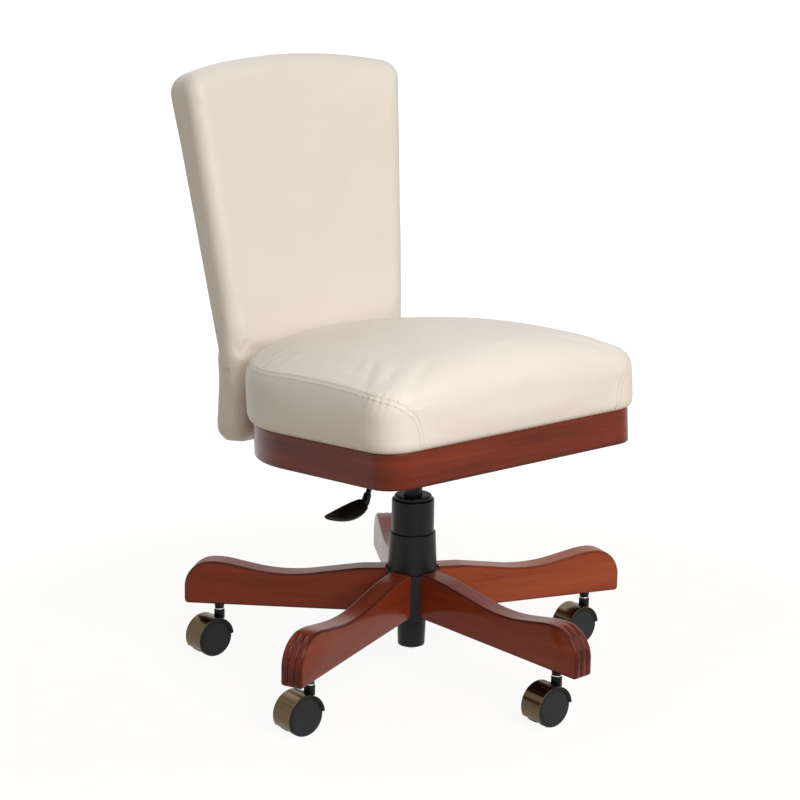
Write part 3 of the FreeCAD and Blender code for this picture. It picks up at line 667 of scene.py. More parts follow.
# Darker and paler tone, roughness, and the noise each finish is drawn with
PLAINS = {
    "cream_thread": ((212, 198, 179), (236, 226, 211), 0.7, 2600, 2),
    "frame_wood": ((168, 134, 96), (206, 176, 136), 0.65, (14, 190, 190), 4, (0.0003, 0.2)),
    "cushion_foam": ((196, 188, 150), (228, 222, 190), 0.9, 900, 2),
}
BLACKS = {
    "black_metal": ((19, 19, 20), (27, 27, 28), (0.36, 0.48), 2600),
    "black_plastic": ((20, 20, 20), (27, 27, 27), (0.30, 0.42), 1800),
    # Darker copy of black plastic for the caster bodies: painted shade in the gap between hood and wheels
    "black_fender": ((8, 8, 8), (12, 12, 12), (0.24, 0.34), 1800),
    "wheel_plastic": ((33, 35, 35), (41, 43, 43), (0.46, 0.58), 1500),
}
METALS = {
    "bronze_hood": ((80, 66, 48), (106, 89, 67), (0.14, 0.26), (1500, 12, 1500)),
    "bright_steel": ((196, 197, 200), (216, 217, 220), (0.10, 0.18), (90, 90, 900)),
    "zinc_steel": ((150, 152, 156), (178, 180, 184), (0.30, 0.42), 300),
}
FINISHES = {"cream_leather": finish_leather(), "cherry_wood": finish_cherry()}
for make_finish, looks in ((finish_noise, PLAINS), (finish_black, BLACKS), (finish_metal, METALS)):
    FINISHES.update({name: make_finish(name, *look) for name, look in looks.items()})


# Seat

seat_half = seat_width / 2
rear_corner_radius = seat_half - rear_flat / 2
seat_centre = np.array([0.0, (seat_rear - seat_front) / 2])
seat_line = rounded([
    (0, -seat_front, 0),
    (seat_half, -seat_front, front_corner_radius),
    (seat_half, seat_rear, rear_corner_radius),
    (-seat_half, seat_rear, rear_corner_radius),
    (-seat_half, -seat_front, front_corner_radius),
], arc_step=math.radians(1))
seat_girth = lengths(seat_line)[-1]


def edge_of(line, place):
    """Point and outward direction at a distance along a closed outline that runs counter-clockwise."""
    girth = lengths(line)[-1]
    ahead = at_lengths(line, np.mod(place + 1.0, girth))
    behind = at_lengths(line, np.mod(place - 1.0, girth))
    along = unit(ahead - behind)
    return at_lengths(line, np.mod(place, girth)), np.stack([along[..., 1], -along[..., 0]], -1)


def quarter_knots(line):
    """Distances along an outline, mirrored about its start, to its four corners and to the first again."""
    reach = lengths(line)
    near = reach[np.argmax(line[:, 0] - line[:, 1])]
    far = reach[np.argmax(line[:, 0] + line[:, 1])]
    return [-near, near, far, reach[-1] - far, reach[-1] - near]


def chair_frame(x, y, height):
    """Takes places in the seat's frame to the chair's: the seat's front is pitched up about X."""
    deep = y * math.cos(seat_pitch) + height * math.sin(seat_pitch)
    high = height * math.cos(seat_pitch) - y * math.sin(seat_pitch) + apron_bottom_z
    return np.stack(np.broadcast_arrays(x, deep, high), -1)


def seat_height(points):
    """Height of points in the chair's frame above the seat frame's zero."""
    return points[..., 1] * math.sin(seat_pitch) + (points[..., 2] - apron_bottom_z) * math.cos(seat_pitch)


def crown(plan):
    """Height of the cushion's crown above the apron: a parabola each way from its peak."""
    across = plan[..., 0] ** 2 / (2 * crown_radius_across)
    along = (plan[..., 1] - crown_peak_y) ** 2 / (2 * crown_radius_along)
    return crown_height - across - along


def seat_skin(place, level):
    """Seat cover. place is the distance round the apron from its front middle. level runs from -1 at the
    middle of the underside to 0 at the foot, which rolls under, to 1 up the side, to 2 over the shoulder's
    quarter round and to 3 in over the crown to the middle of the seat."""
    edge, out = edge_of(seat_line, place)
    rim = edge + out * cushion_overhang
    reach = ((rim - seat_centre) * out).sum(-1)
    turn = np.clip(level - 1, 0, 1) * np.pi / 2
    inward = shoulder_radius * (1 - np.cos(turn))
    share = (1 - inward / reach) * (1 - np.clip(level - 2, 0, 1))
    plan = seat_centre + (rim - seat_centre) * share[..., None]
    side = np.clip(level, 0, 1) * (crown(rim) - shoulder_radius)
    height = np.where(level < 1, side, crown(plan) - shoulder_radius * (1 - np.sin(turn)))
    under = np.clip(1 - height / cushion_roll, 0, 1)
    plan = plan - out * (cushion_tuck * (1 - np.sqrt(1 - under ** 2)))[..., None]
    below = np.clip(-level, 0, 1)
    plan = plan + (seat_centre - plan) * below[..., None]
    height = height + underside_rise * np.clip(below / underside_run, 0, 1)
    return chair_frame(plan[..., 0], plan[..., 1], height + apron_height)


def seam_on_seat():
    """Path of the side seam as (distance round the seat, level in millimetres): up the front beside each
    corner, round a soft turn and along the shoulder behind the seat."""
    level = seat_seam_place * shoulder_radius * math.pi / 2
    start = seat_seam_dive
    end = seat_girth - seat_seam_dive
    corners = [(start, 0, 0), (start, level, seat_seam_turn), (end, level, seat_seam_turn), (end, 0, 0)]
    return spaced(rounded(corners, closed=False), 2.0)


def seat_seam_skin(place, level):
    """Seat cover with its level in millimetres of the shoulder's round."""
    return seat_skin(place, level / (shoulder_radius * math.pi / 2))


def beside(path, places, across):
    """Places on a drawn path: points at distances along it, moved aside by `across` to its left."""
    ahead = at_lengths(path, np.minimum(places + 0.5, lengths(path)[-1]))
    behind = at_lengths(path, np.maximum(places - 0.5, 0))
    along = unit(ahead - behind)
    return at_lengths(path, places) + np.stack([-along[..., 1], along[..., 0]], -1) * across[..., None]


def raised(piece, skin, path, places, across, lift):
    """Points beside a path drawn on a skin, settled on the finished piece and lifted along the skin's outward
    normal, and the local directions."""
    def point(along_shift, across_shift):
        drawn = beside(path, places + along_shift, across + across_shift)
        return skin(drawn[..., 0], drawn[..., 1])
    here = settled(piece, point(0.0, 0.0))
    inside = np.mean([corner[:] for corner in piece.bound_box], axis=0) / METRE
    along = unit(point(0.4, 0.0) - point(-0.4, 0.0))
    over = unit(point(0.0, 0.4) - point(0.0, -0.4))
    out = unit(np.cross(along, over))
    out = out * np.sign(((here - inside) * out).sum(-1, keepdims=True))
    return here + out * lift[..., None], along, out


def seam_strip(piece, skin, path, closed=False):
    """Pressed-open seam carried along a path: two low ridges beside a valley, sunk at both sides."""
    over = np.linspace(-1, 1, seam_steps)
    ridges = np.exp(-((abs(over) - ridge_place) / ridge_spread) ** 2) * seam_ridge
    valley = valley_depth * np.exp(-(over / valley_spread) ** 2)
    across = np.concatenate([over, over[::-1][1:-1]]) * seam_half
    lift = np.concatenate([ridges - seam_bed - valley, np.full(len(over) - 2, -seam_sink)])
    places = np.linspace(0, lengths(path)[-1], len(path))
    if closed:
        places = places[:-1]
    grid = np.broadcast_arrays(places[:, None], across, lift)
    points, _, _ = raised(piece, skin, path, *grid)
    return points.reshape(-1, 3), tube_faces(len(places), len(across), closed)


def stitch_row(piece, skin, path, aside):
    """Row of stitches beside a seam: short many-sided threads that dip into the cover at both ends."""
    count = int(lengths(path)[-1] / stitch_pitch) - 1
    middles = (np.arange(count) + stitch_start) * stitch_pitch
    shares, lifts, girths = np.array(STITCH).T
    places = middles[:, None] + shares * stitch_length
    lift = np.broadcast_to(lifts, places.shape)
    middle, forward, out = raised(piece, skin, path, places, np.full(places.shape, aside), lift)
    girth = girths[:, None, None] * thread_radius
    turn = np.linspace(0, 2 * np.pi, thread_sides + 1)[:-1, None]
    wide = np.cross(out, forward)[:, :, None]
    rings = middle[:, :, None] + girth * (np.cos(turn) * out[:, :, None] + np.sin(turn) * wide)
    faces = tube_faces(len(STITCH), thread_sides, False)
    return assembled([(one, faces) for one in rings.reshape(count, -1, 3)])


def lattice_levels(curved, middle, brim):
    """Level of each lattice ring: even steps from the middle to a brim, then even steps round the curve."""
    ring = np.arange(cover_flat_rings + curved + 1)
    inner = middle + (brim - middle) * ring / cover_flat_rings
    outer = brim + np.sign(brim - middle) * (ring - cover_flat_rings) / curved
    return np.where(ring <= cover_flat_rings, inner, outer)


def sewn_cover(line, skin, over, under, side):
    """Closed cover on an outline: a square lattice over each face, its corners at the outline's four corners,
    joined by rings round the side. over and under give the levels of the lattices' rings from the middle."""
    rings = len(over) - 1
    knots = quarter_knots(line)
    ring, around = square_rings(rings)
    place = np.interp(around, range(5), knots)
    rim = np.interp(np.arange(8 * rings) / (2 * rings), range(5), knots)
    lattice = grid_faces(2 * rings + 1, 2 * rings + 1)
    return welded([
        (skin(place, over[ring]), lattice),
        (skin(place, under[ring]), lattice),
        (skin(*np.broadcast_arrays(rim, side[:, None])), grid_faces(len(side), 8 * rings, False, True)),
    ])


def near_path(skin, path, points, reach):
    """Which points lie within a distance of a path drawn on a skin."""
    drawn = skin(path[:, 0], path[:, 1])[::2]
    gap = np.linalg.norm(points[:, None] - drawn[None], axis=-1).min(1)
    return gap < reach


def puckered(points, normals, path):
    """Cover with the small gathers that a tight seam pulls up beside it at the seat's two front corners."""
    line = seat_seam_skin(path[:, 0], path[:, 1])
    along = lengths(line)
    for reach in (along, along[-1] - along):
        there = reach < pucker_place + 2 * pucker_spread
        close = np.linalg.norm(points - line[there].mean(0), axis=1) < 3 * pucker_spread
        gaps = np.linalg.norm(points[close][:, None] - line[there][None], axis=-1)
        spot = reach[there][gaps.argmin(1)]
        gather = np.exp(-((spot - pucker_place) / pucker_spread) ** 2 - (gaps.min(1) / pucker_reach) ** 2)
        wave = pucker_height * gather * np.cos(2 * np.pi * spot / pucker_pitch)
        points[close] += normals[close] * wave[:, None]
    return points


def build_seat_cover():
    """Seat cushion: crown and underside joined round the side, swelled, then its seam and stitches."""
    top = lattice_levels(seat_curved_rings, 3.0, 2.0)
    underside = np.linspace(-1, 0, len(top))
    side = np.linspace(0, 1, seat_side_rows + 1) ** seat_row_bias
    points, faces = sewn_cover(seat_line, seat_skin, top, underside, side)
    path = seam_on_seat()
    held = seat_height(points) < apron_height + held_height
    held |= near_path(seat_seam_skin, path, points, seam_held * seam_half)
    points, normals, faces = refined(swelled(points, faces, held, seat_swell), faces)
    piece = stand_in("seat_cover", (puckered(points, normals, path), faces), also=["seat_foam"])
    seam = seam_strip(piece, seat_seam_skin, path)
    make_piece("seat_seam", seam, FINISHES["cream_leather"], "seat")
    rows = [stitch_row(piece, seat_seam_skin, path, side * stitch_aside) for side in (-1, 1)]
    make_piece("seat_stitches", assembled(rows), FINISHES["cream_thread"], "seat")


def build_apron():
    """Bent-wood band: a plank section with eased edges carried round the seat's outline."""
    section = spaced(rounded([
        (0, 0, apron_foot_round),
        (0, apron_height, apron_top_round),
        (apron_wall, apron_height, apron_top_round),
        (apron_wall, 0, apron_top_round),
    ], arc_step=math.radians(10)), apron_step)[:-1]
    place = np.linspace(0, seat_girth, apron_steps, endpoint=False)
    edge, out = edge_of(seat_line, place)
    plan = edge[:, None] - out[:, None] * section[None, :, :1]
    points = chair_frame(plan[..., 0], plan[..., 1], np.broadcast_to(section[:, 1], plan.shape[:2]))
    piece = stand_in("apron", (points, tube_faces(len(place), len(section), True)))
    from_rear = np.mod(place + seat_girth / 2, seat_girth)
    grain = np.stack(np.broadcast_arrays(from_rear[:, None], section[:, 1], section[:, 0]), -1)
    # Darker across the band's underside and foot: painted shade under the band, over an even stain tone
    stain_and_shade = apron_tone + np.exp(-(section[:, 1] / apron_foot_round) ** 2)
    set_grain(piece, grain.reshape(-1, 3), np.broadcast_to(stain_and_shade, grain.shape[:2]))


# Back

front_foot_y = (seat_rear + cushion_bulge + back_gap) / math.cos(seat_pitch)
front_foot_y += (back_bottom_z - apron_bottom_z) * math.tan(seat_pitch)
front_kink_y = front_foot_y + (back_kink_z - back_bottom_z) * math.tan(seat_pitch)
front_top_y = front_kink_y + (back_top_z - back_kink_z) * math.tan(back_recline)
plan_axis_y = front_kink_y - back_plan_radius
arch_turn = 2 * math.atan(2 * back_arch_rise / back_top_width)
arch_radius = (back_top_width / 2 / math.cos(arch_turn) - back_corner_radius) / math.tan(arch_turn)
foot_slope = (back_bottom_z - back_kink_z) / math.cos(back_recline)
top_slope = (back_top_z - back_kink_z) / math.cos(back_recline) + back_top_spare
apex_slope = top_slope + arch_radius * (1 / math.cos(arch_turn) - 1)
shoulder_slope = apex_slope - back_top_width / 2 * math.tan(arch_turn)
back_line = rounded([
    (0, foot_slope, 0),
    (back_low_width / 2, foot_slope, back_corner_radius),
    (back_low_width / 2, 0, back_bend_radius),
    (back_top_width / 2, shoulder_slope, back_corner_radius),
    (0, apex_slope, arch_radius),
    (-back_top_width / 2, shoulder_slope, back_corner_radius),
    (-back_low_width / 2, 0, back_bend_radius),
    (-back_low_width / 2, foot_slope, back_corner_radius),
], arc_step=math.radians(1))
back_centre = np.array([0.0, back_middle_slope])
profile_over = back_rear_round + back_low_thickness * math.tan(back_recline)


def back_profile(low, kink, top):
    """Side line of the back as (y, height): below the bend, round it and up the recline."""
    rise = back_top_z - back_kink_z
    return rounded([
        (low, back_bottom_z - profile_over, 0),
        (kink, back_kink_z, back_bend_radius),
        (kink + 2 * (top - kink), back_kink_z + 2 * rise, 0),
    ], closed=False)


front_profile = back_profile(
    front_foot_y - math.tan(seat_pitch) * profile_over, front_kink_y, front_top_y)
rear_profile = back_profile(
    front_foot_y + back_low_thickness, front_kink_y + back_kink_thickness, front_top_y + back_top_thickness)


def hollowed(profile, x, z):
    """Depth of a side line carried round the back's upright plan axis."""
    deep = np.interp(z, profile[:, 1], profile[:, 0]) - plan_axis_y
    return plan_axis_y + np.sqrt(deep ** 2 - x ** 2)


def square_height(slope, depth):
    """Height of a place at a depth, carried square to the recline from its slope distance above the bend."""
    over = depth - front_kink_y
    return back_kink_z + slope / math.cos(back_recline) - over * math.tan(back_recline)


def slope_of(points):
    """Distance of points above the bend, up the recline."""
    deep = points[..., 1] - front_kink_y
    return deep * math.sin(back_recline) + (points[..., 2] - back_kink_z) * math.cos(back_recline)


kink_half = back_low_width / 2
kink_front_y = hollowed(front_profile, kink_half, back_kink_z)
kink_rear_y = hollowed(rear_profile, kink_half, back_kink_z)
kink_line = rounded([
    (0, hollowed(front_profile, 0, back_kink_z), 0),
    (kink_half, kink_front_y, back_front_round),
    (kink_half, kink_rear_y, back_rear_round),
    (0, hollowed(rear_profile, 0, back_kink_z), 0),
    (-kink_half, kink_rear_y, back_rear_round),
    (-kink_half, kink_front_y, back_front_round),
])


def back_skin(place, level):
    """Back cover. place is the distance round the back's outline from its bottom middle. level runs from 0 to
    1 out over the front face, to 2 round its edge, to 3 over the side, to 4 round the rear edge and to 5 in
    over the rear face. The outline is carried through square to the recline."""
    edge, out = edge_of(back_line, place)
    reach = ((edge - back_centre) * out).sum(-1)
    front_turn = np.clip(level - 1, 0, 1) * np.pi / 2
    rear_turn = np.clip(level - 3, 0, 1) * np.pi / 2
    front_in = back_front_round * (1 - np.sin(front_turn))
    rear_round = back_rear_round + back_top_ease * np.clip(out[..., 1], 0, 1) ** 2
    rear_in = rear_round * (1 - np.cos(rear_turn))
    inward = np.where(level < 2.5, front_in, rear_in)
    share = (1 - inward / reach) * np.clip(level, 0, 1) * (1 - np.clip(level - 4, 0, 1))
    plan = back_centre + (edge - back_centre) * share[..., None]
    x, slope = plan[..., 0], plan[..., 1]
    depth = front_kink_y + slope * math.sin(back_recline)
    for _ in range(6):
        z = square_height(slope, depth)
        front = hollowed(front_profile, x, z) + back_front_round * (1 - np.cos(front_turn))
        rear = hollowed(rear_profile, x, z) - rear_round * (1 - np.sin(rear_turn))
        depth = front + (rear - front) * np.clip(level - 2, 0, 1)
    return np.stack([x, depth, square_height(slope, depth)], -1)


def kink_path():
    """Path of the seam round the back at its bend: distances round the section there, at no rise."""
    around = np.arange(0, lengths(kink_line)[-1], 2.0)
    return np.stack([around, np.zeros(len(around))], -1)


def kink_skin(place, level):
    """Wall on the back's section at its bend, at a rise above it."""
    x, y = np.moveaxis(at_lengths(kink_line, np.mod(place, lengths(kink_line)[-1])), -1, 0)
    return np.stack([x, y, square_height(0.0, y) + level], -1)


def build_back_cover():
    """Back cushion: front and rear faces joined round the side, swelled, then the seam round its bend."""
    front = lattice_levels(back_curved_rings, 0.0, 1.0)
    rear = lattice_levels(back_curved_rings, 5.0, 4.0)
    points, faces = sewn_cover(back_line, back_skin, front, rear, np.linspace(2, 3, back_side_rows + 1))
    slope = slope_of(points)
    held = (slope < foot_slope + back_held) | (abs(slope) < seam_half)
    points, _, faces = refined(swelled(points, faces, held, back_swell), faces)
    piece = stand_in("back_cover", (points, faces), also=["back_foam"])
    seam = seam_strip(piece, kink_skin, kink_path(), True)
    make_piece("back_seam", seam, FINISHES["cream_leather"], "seat")


# Base

hub_reach = hub_radius + leg_gap
leg_angles = [math.radians(first_leg_angle + 360 / leg_count * number) for number in range(leg_count)]
CASTERS = [caster_circle * np.array([math.cos(a), math.sin(a), 0]) for a in leg_angles]


def spun(points, angle):
    """Points turned about the column's axis."""
    x, y, z = points.reshape(-1, 3).T
    return np.stack([
        x * math.cos(angle) - y * math.sin(angle), x * math.sin(angle) + y * math.cos(angle), z], -1)


def leg_rim():
    """Side outline of a leg as (radius, height): from the hub along the top, round the tip and back below."""
    fall = (leg_waist[1] - leg_hub_top_z) / (leg_waist[0] - hub_radius)
    return spaced(rounded([
        (hub_reach, leg_hub_top_z, 0),
        (2 * hub_radius, leg_hub_top_z + fall * hub_radius / 2, 3 * leg_tip_round),
        (*leg_waist, 6 * leg_tip_round),
        (*leg_hump, 3 * leg_tip_round),
        (leg_reach, leg_tip_top_z, leg_tip_round),
        (leg_reach, leg_tip_bottom_z, leg_heel_round),
        (hub_reach, leg_hub_bottom_z, 0),
    ], closed=False, arc_step=math.radians(2)), 2.4)


def reed_weight(rim):
    """Depth of the reeds along a leg's rim: they rise softly before the tip and end at the heel."""
    reach = lengths(rim)
    tip = int(np.argmax(rim[:, 0] > reed_start))
    heel = int(np.argmax((rim[:, 0] > leg_reach - leg_heel_round) & (rim[:, 1] < leg_tip_bottom_z + 1)))
    rise = np.clip((reach - reach[tip]) / reed_fade, 0, 1)
    fall = np.clip((reach[heel] - reach) / leg_heel_round, 0, 1)
    return (rise ** 2 * (3 - 2 * rise) * fall)[:, None]


def build_legs():
    """Legs: an eased rim with reeds over the tip is carried round the side outline, between flat sides."""
    rim = leg_rim()
    along = unit(np.gradient(rim, axis=0))
    out = np.stack([-along[:, 1], along[:, 0]], -1)
    turn = np.linspace(0, np.pi / 2, edge_steps)
    flat = leg_thickness / 2 - leg_edge_round
    edge_y = flat + leg_edge_round * np.sin(turn)
    edge_ease = 1 - np.cos(turn)
    across = np.concatenate([-edge_y[::-1], np.linspace(-flat, flat, rim_steps)[1:-1], edge_y])
    ease = np.concatenate([edge_ease[::-1], np.zeros(rim_steps - 2), edge_ease])
    lane = np.mod(across / (leg_thickness / reed_count) + 0.5, 1.0) - 0.5
    bead = (1 - np.sqrt(1 - (reed_fullness * lane) ** 2)) * (1 - ease)
    reeds = reed_weight(rim) * bead
    inset = leg_edge_round * ease + reed_depth * reeds
    side_view = rim[:, None] - out[:, None] * inset[..., None]
    cope = np.sqrt(hub_reach ** 2 - across ** 2) - hub_reach
    near = np.clip(1 - (rim[:, :1] - hub_reach) / hub_radius, 0, 1)
    radius = side_view[..., 0] + near * cope
    points = np.stack(np.broadcast_arrays(radius, across, side_view[..., 1]), -1)
    rows, columns = radius.shape
    row_starts = np.arange(rows) * columns
    sides = [row_starts.tolist(), (row_starts + columns - 1).tolist()]
    faces = grid_faces(rows, columns, True).tolist() + sides
    arris = np.sin(2 * np.arccos(1 - ease))
    end_grain = np.clip(out[:, :1], 0, 1) * (1 - ease)
    # Darker along the arrises and in the end grain, where stain soaks in, and painted shade in the grooves
    # between the reeds
    stain_and_shade = np.maximum(arris_darkening * arris, end_stain * end_grain + reeds)
    points = points.reshape(-1, 3)
    for number, angle in enumerate(leg_angles):
        piece = stand_in("leg_%d" % (number + 1), (spun(points, angle), faces), 50)
        shift = np.array(GRAIN_SHIFT) * leg_reach * (number + 1)
        set_grain(piece, points + shift, stain_and_shade + LEG_TONES[number])


def ring_profile(*corners):
    """Closed (radius, height) profile of a turned part from corners with eased radii."""
    return rounded(corners, arc_step=math.radians(12))


def build_column():
    """Turned black parts of the column: hub, lower collar, upper cover, bush and tapered tube."""
    bore = tube_radius + leg_gap
    parts = {
        "hub": ring_profile(
            (bore, hub_top_z, 0.5), (bore, hub_bottom_z, 0.5), (hub_radius, hub_bottom_z, 1.5),
            (hub_radius, hub_top_z, 1.5)),
        "hub_collar": ring_profile(
            (bore, hub_top_z, 0.4), (collar_foot_radius, hub_top_z, 0.8),
            (collar_top_radius, collar_top_z, 1.6), (bore, collar_top_z, 0.4)),
        "column_cover": ring_profile(
            (bore, collar_top_z, 0.4), (cover_radius, collar_top_z, 0.6),
            (cover_radius, column_top_z, 2.2), (bore, column_top_z, 0.4)),
        "guide_bush": ring_profile(
            (cylinder_radius, column_top_z, 0.4), (bush_flange_radius, column_top_z, 1.0),
            (bush_flange_radius, column_top_z + bush_flange, 2.6),
            (cylinder_radius, column_top_z + bush_flange, 0.6)),
        "column_tube": ring_profile(
            (tube_foot_radius - tube_wall, tube_foot_z, 0.5), (tube_foot_radius, tube_foot_z, 1.4),
            (tube_radius, hub_top_z, 0), (tube_radius, column_top_z, 0.4),
            (tube_radius - tube_wall, column_top_z, 0.4)),
    }
    for name, profile in parts.items():
        stand_in(name, revolved(profile), 30)


def fender_shells():
    """Fender channel with its lips, and the web between the wheels, turned about Z."""
    lip = fender_half - lip_thickness
    channel = ring_profile(
        (fender_outer, -fender_half, 0.4), (fender_outer, fender_half, 0.4), (fender_lip, fender_half, 0.2),
        (fender_lip, lip, 0.2), (fender_inner, lip, 0.2), (fender_inner, -lip, 0.2), (fender_lip, -lip, 0.2),
        (fender_lip, -fender_half, 0.2))
    web = ring_profile(
        (axle_radius, -web_half, 0.3), (fender_inner, -web_half, 0.3), (fender_inner, web_half, 0.3),
        (axle_radius, web_half, 0.3))
    return [revolved(channel, 72, hood_start, hood_end), revolved(web, 60, web_start, web_end)]


def stepped(stops, counts):
    """Values through the stops, with a count of even steps between each two."""
    runs = [np.linspace(a, b, count, endpoint=False) for a, b, count in zip(stops, stops[1:], counts)]
    return np.concatenate([*runs, stops[-1:]])


def hood_sheet():
    """Hood's outer face: part of a cylinder about the wheels' axis, with a window round the stem's boss."""
    window_start, window_end = hood_window
    gap = boss_radius + stem_gap
    turn = stepped((hood_start, window_start, window_end, hood_end), (8, 14, 47))
    over = stepped((-hood_half, -gap, gap, hood_half), (5, 8, 5))
    mid_turn = (turn[:-1] + turn[1:]) / 2
    mid_over = (over[:-1] + over[1:]) / 2
    in_window = (mid_turn > window_start) & (mid_turn < window_end)
    kept = ~(in_window[:, None] & (abs(mid_over) < gap))
    turn = turn[:, None]
    points = np.stack(np.broadcast_arrays(hood_radius * np.cos(turn), over, hood_radius * np.sin(turn)), -1)
    used, quads = np.unique(grid_faces(len(turn), len(over))[kept.ravel()], return_inverse=True)
    return points.reshape(-1, 3)[used], quads.reshape(-1, 4)


def wheel_shell(side):
    """Wheel about its axis: tread, shoulder, groove and dished face turned, the face towards one side."""
    chamfer = wheel_ease * 0.3
    radius, width = np.array([
        (0.0, wheel_inner), (wheel_radius - wheel_ease, wheel_inner),
        (wheel_radius - chamfer, wheel_inner + chamfer), (wheel_radius, wheel_inner + wheel_ease),
        *[(wheel_radius - deep, wheel_outer - low) for deep, low in WHEEL_SHOULDER],
        (wheel_dish_radius, wheel_outer - wheel_dish), (0.0, wheel_outer),
    ]).T
    turn = np.linspace(0, 2 * np.pi, wheel_steps + 1)[:-1, None]
    rings = np.stack(np.broadcast_arrays(radius * np.cos(turn), side * width, radius * np.sin(turn)), -1)
    return welded([(rings, grid_faces(wheel_steps, len(radius), True))])


def build_casters():
    """Hooded twin-wheel casters: the body, hood and two wheels of each."""
    fenders = fender_shells()
    boss_points, boss_faces = revolved(ring_profile(
        (shank_radius / 2, boss_foot_z, 0.3), (boss_radius, boss_foot_z, 0.3), (boss_radius, boss_top_z, 1.0),
        (shank_radius / 2, boss_top_z, 0.3)), 48)
    hood_points, hood_quads = hood_sheet()
    wheels = {"wheel_left": wheel_shell(1), "wheel_right": wheel_shell(-1)}
    for number, place in enumerate(CASTERS):
        tag = "_%d" % (number + 1)
        axis = place + np.array([-caster_trail, 0, wheel_radius])
        shells = [on_wheel_axis(shell, axis) for shell in fenders] + [(boss_points + place, boss_faces)]
        # The body takes the darker copy of black plastic: painted shade between hood and wheels
        stand_in("caster_body" + tag, assembled(shells), 35, finish=FINISHES["black_fender"])
        hood = stand_in("caster_hood" + tag, (hood_points + axis, hood_quads.tolist()), 35)
        outward = np.array(hood.data.polygons[0].normal) @ (hood_points[hood_quads[0]].mean(0) * (1, 0, 1))
        wall = hood.modifiers.new("Wall", "SOLIDIFY")
        wall.thickness = hood_wall * METRE
        wall.offset = -1.0 if outward > 0 else 1.0
        lip = hood.modifiers.new("Lip", "BEVEL")
        lip.width = hood_lip * METRE
        lip.segments = 2
        for name, (points, faces) in wheels.items():
            stand_in(name + tag, (points + axis, faces))


def build_stems():
    """Grip-ring stems of the casters, and the ferrules that hold them in the legs."""
    ring_foot = boss_top_z + stem_gap
    ring_top = ring_foot + stem_ring_height
    neck = shank_radius - 1
    bore = shank_radius + socket_gap
    sleeve = bore + socket_wall
    seat_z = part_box("caster_sockets")[1].z / METRE
    slope = (leg_hub_bottom_z - leg_tip_bottom_z) / (leg_reach - hub_radius)
    ferrule_top = leg_tip_bottom_z + slope * (leg_reach - caster_circle) - stem_gap
    profiles = {
        "caster_stems": ring_profile(
            (stem_core, ring_foot - stem_below, 0.1), (neck, ring_foot - stem_below, 0.3),
            (neck, ring_foot, 0.2), (stem_ring_radius, ring_foot, 0.8), (stem_ring_radius, ring_top, 0.8),
            (shank_radius, ring_top, 0.1), (shank_radius, ring_top + stem_above, 0.3),
            (stem_core, ring_top + stem_above, 0.1)),
        "caster_sockets": ring_profile(
            (bore, ring_top, 0.2), (ferrule_foot_radius, ring_top, 0.5),
            (ferrule_top_radius, ferrule_top, 0.5), (sleeve, ferrule_top, 0.2), (sleeve, seat_z, 0.4),
            (bore, seat_z, 0.2)),
    }
    for name, profile in profiles.items():
        points, faces = revolved(profile, 40)
        stand_in(name, assembled([(points + place, faces) for place in CASTERS]), 35)


def build_paddle():
    """Lever paddle: an oval section that widens and closes along a sagging line, and the ferrule behind."""
    share = np.linspace(0, 1, 60)
    opened = np.sqrt(1 - (1 - np.clip(share / paddle_open, 0, 1)) ** 2)
    swell = np.sin(np.pi * share ** paddle_lean) ** paddle_fullness
    wide = (paddle_ferrule_radius * (1 - share) ** 3 + paddle_width / 2 * swell) * opened
    thick = np.minimum(paddle_thickness / 2 * opened, wide)
    turn = np.linspace(0, 2 * np.pi, 41)[:-1]
    y = wide[:, None] * np.cos(turn)
    z = thick[:, None] * np.sign(np.sin(turn)) * abs(np.sin(turn)) ** paddle_squareness
    roll_y = y * math.cos(paddle_roll) - z * math.sin(paddle_roll)
    roll_z = y * math.sin(paddle_roll) + z * math.cos(paddle_roll)
    end_x, end_z = lever_end
    tip_x, tip_z = paddle_tip
    x = end_x + (tip_x - end_x) * share
    line = (1 - share) ** 2 * end_z + 2 * share * (1 - share) * paddle_sag_z + share ** 2 * tip_z
    points = np.stack(np.broadcast_arrays(x[:, None], roll_y, line[:, None] + roll_z), -1)
    blade = welded([(points, grid_faces(len(share), len(turn), False, True))])
    run_x, run_z = unit(np.array(lever_end) - np.array(lever_bend))
    core = lever_rod_radius * 0.2
    profile = ring_profile(
        (lever_rod_radius, -paddle_ferrule_length, 0.2),
        (paddle_ferrule_radius - 0.8, -paddle_ferrule_length, 1.0), (paddle_ferrule_radius, 0, 2.0),
        (paddle_ferrule_radius - 2, paddle_ferrule_radius, 1.0), (core, paddle_ferrule_radius, 0.2),
        (core, 0, 0.2), (lever_rod_radius, 0, 0.2))
    tube, tube_quads = revolved(profile, 40)
    aside, across, along = tube.T
    tube_x = end_x + along * run_x - aside * run_z
    tube_z = end_z + along * run_z + aside * run_x
    tube = np.stack([tube_x, across, tube_z], -1)
    points, faces = assembled([blade, (tube, tube_quads)])
    stand_in("lever_paddle", (spun(points, lever_angle), faces))


def dress_frame():
    """Gives every CAD node that still shows the finish of its material slot."""
    for name, slot in SLOTS.items():
        shown = frame["nodes"][name]
        shown.data.materials.clear()
        shown.data.materials.append(FINISHES[slot])


# Studio

def seen_plainly(tree):
    """1 for a ray from the camera, off a gloss or through something clear, and 0 for soft bounces."""
    path = node(tree, "LightPath").outputs
    seen = worked(tree, "MAXIMUM", path["Is Camera Ray"], path["Is Glossy Ray"])
    return worked(tree, "MAXIMUM", seen, path["Is Transmission Ray"])


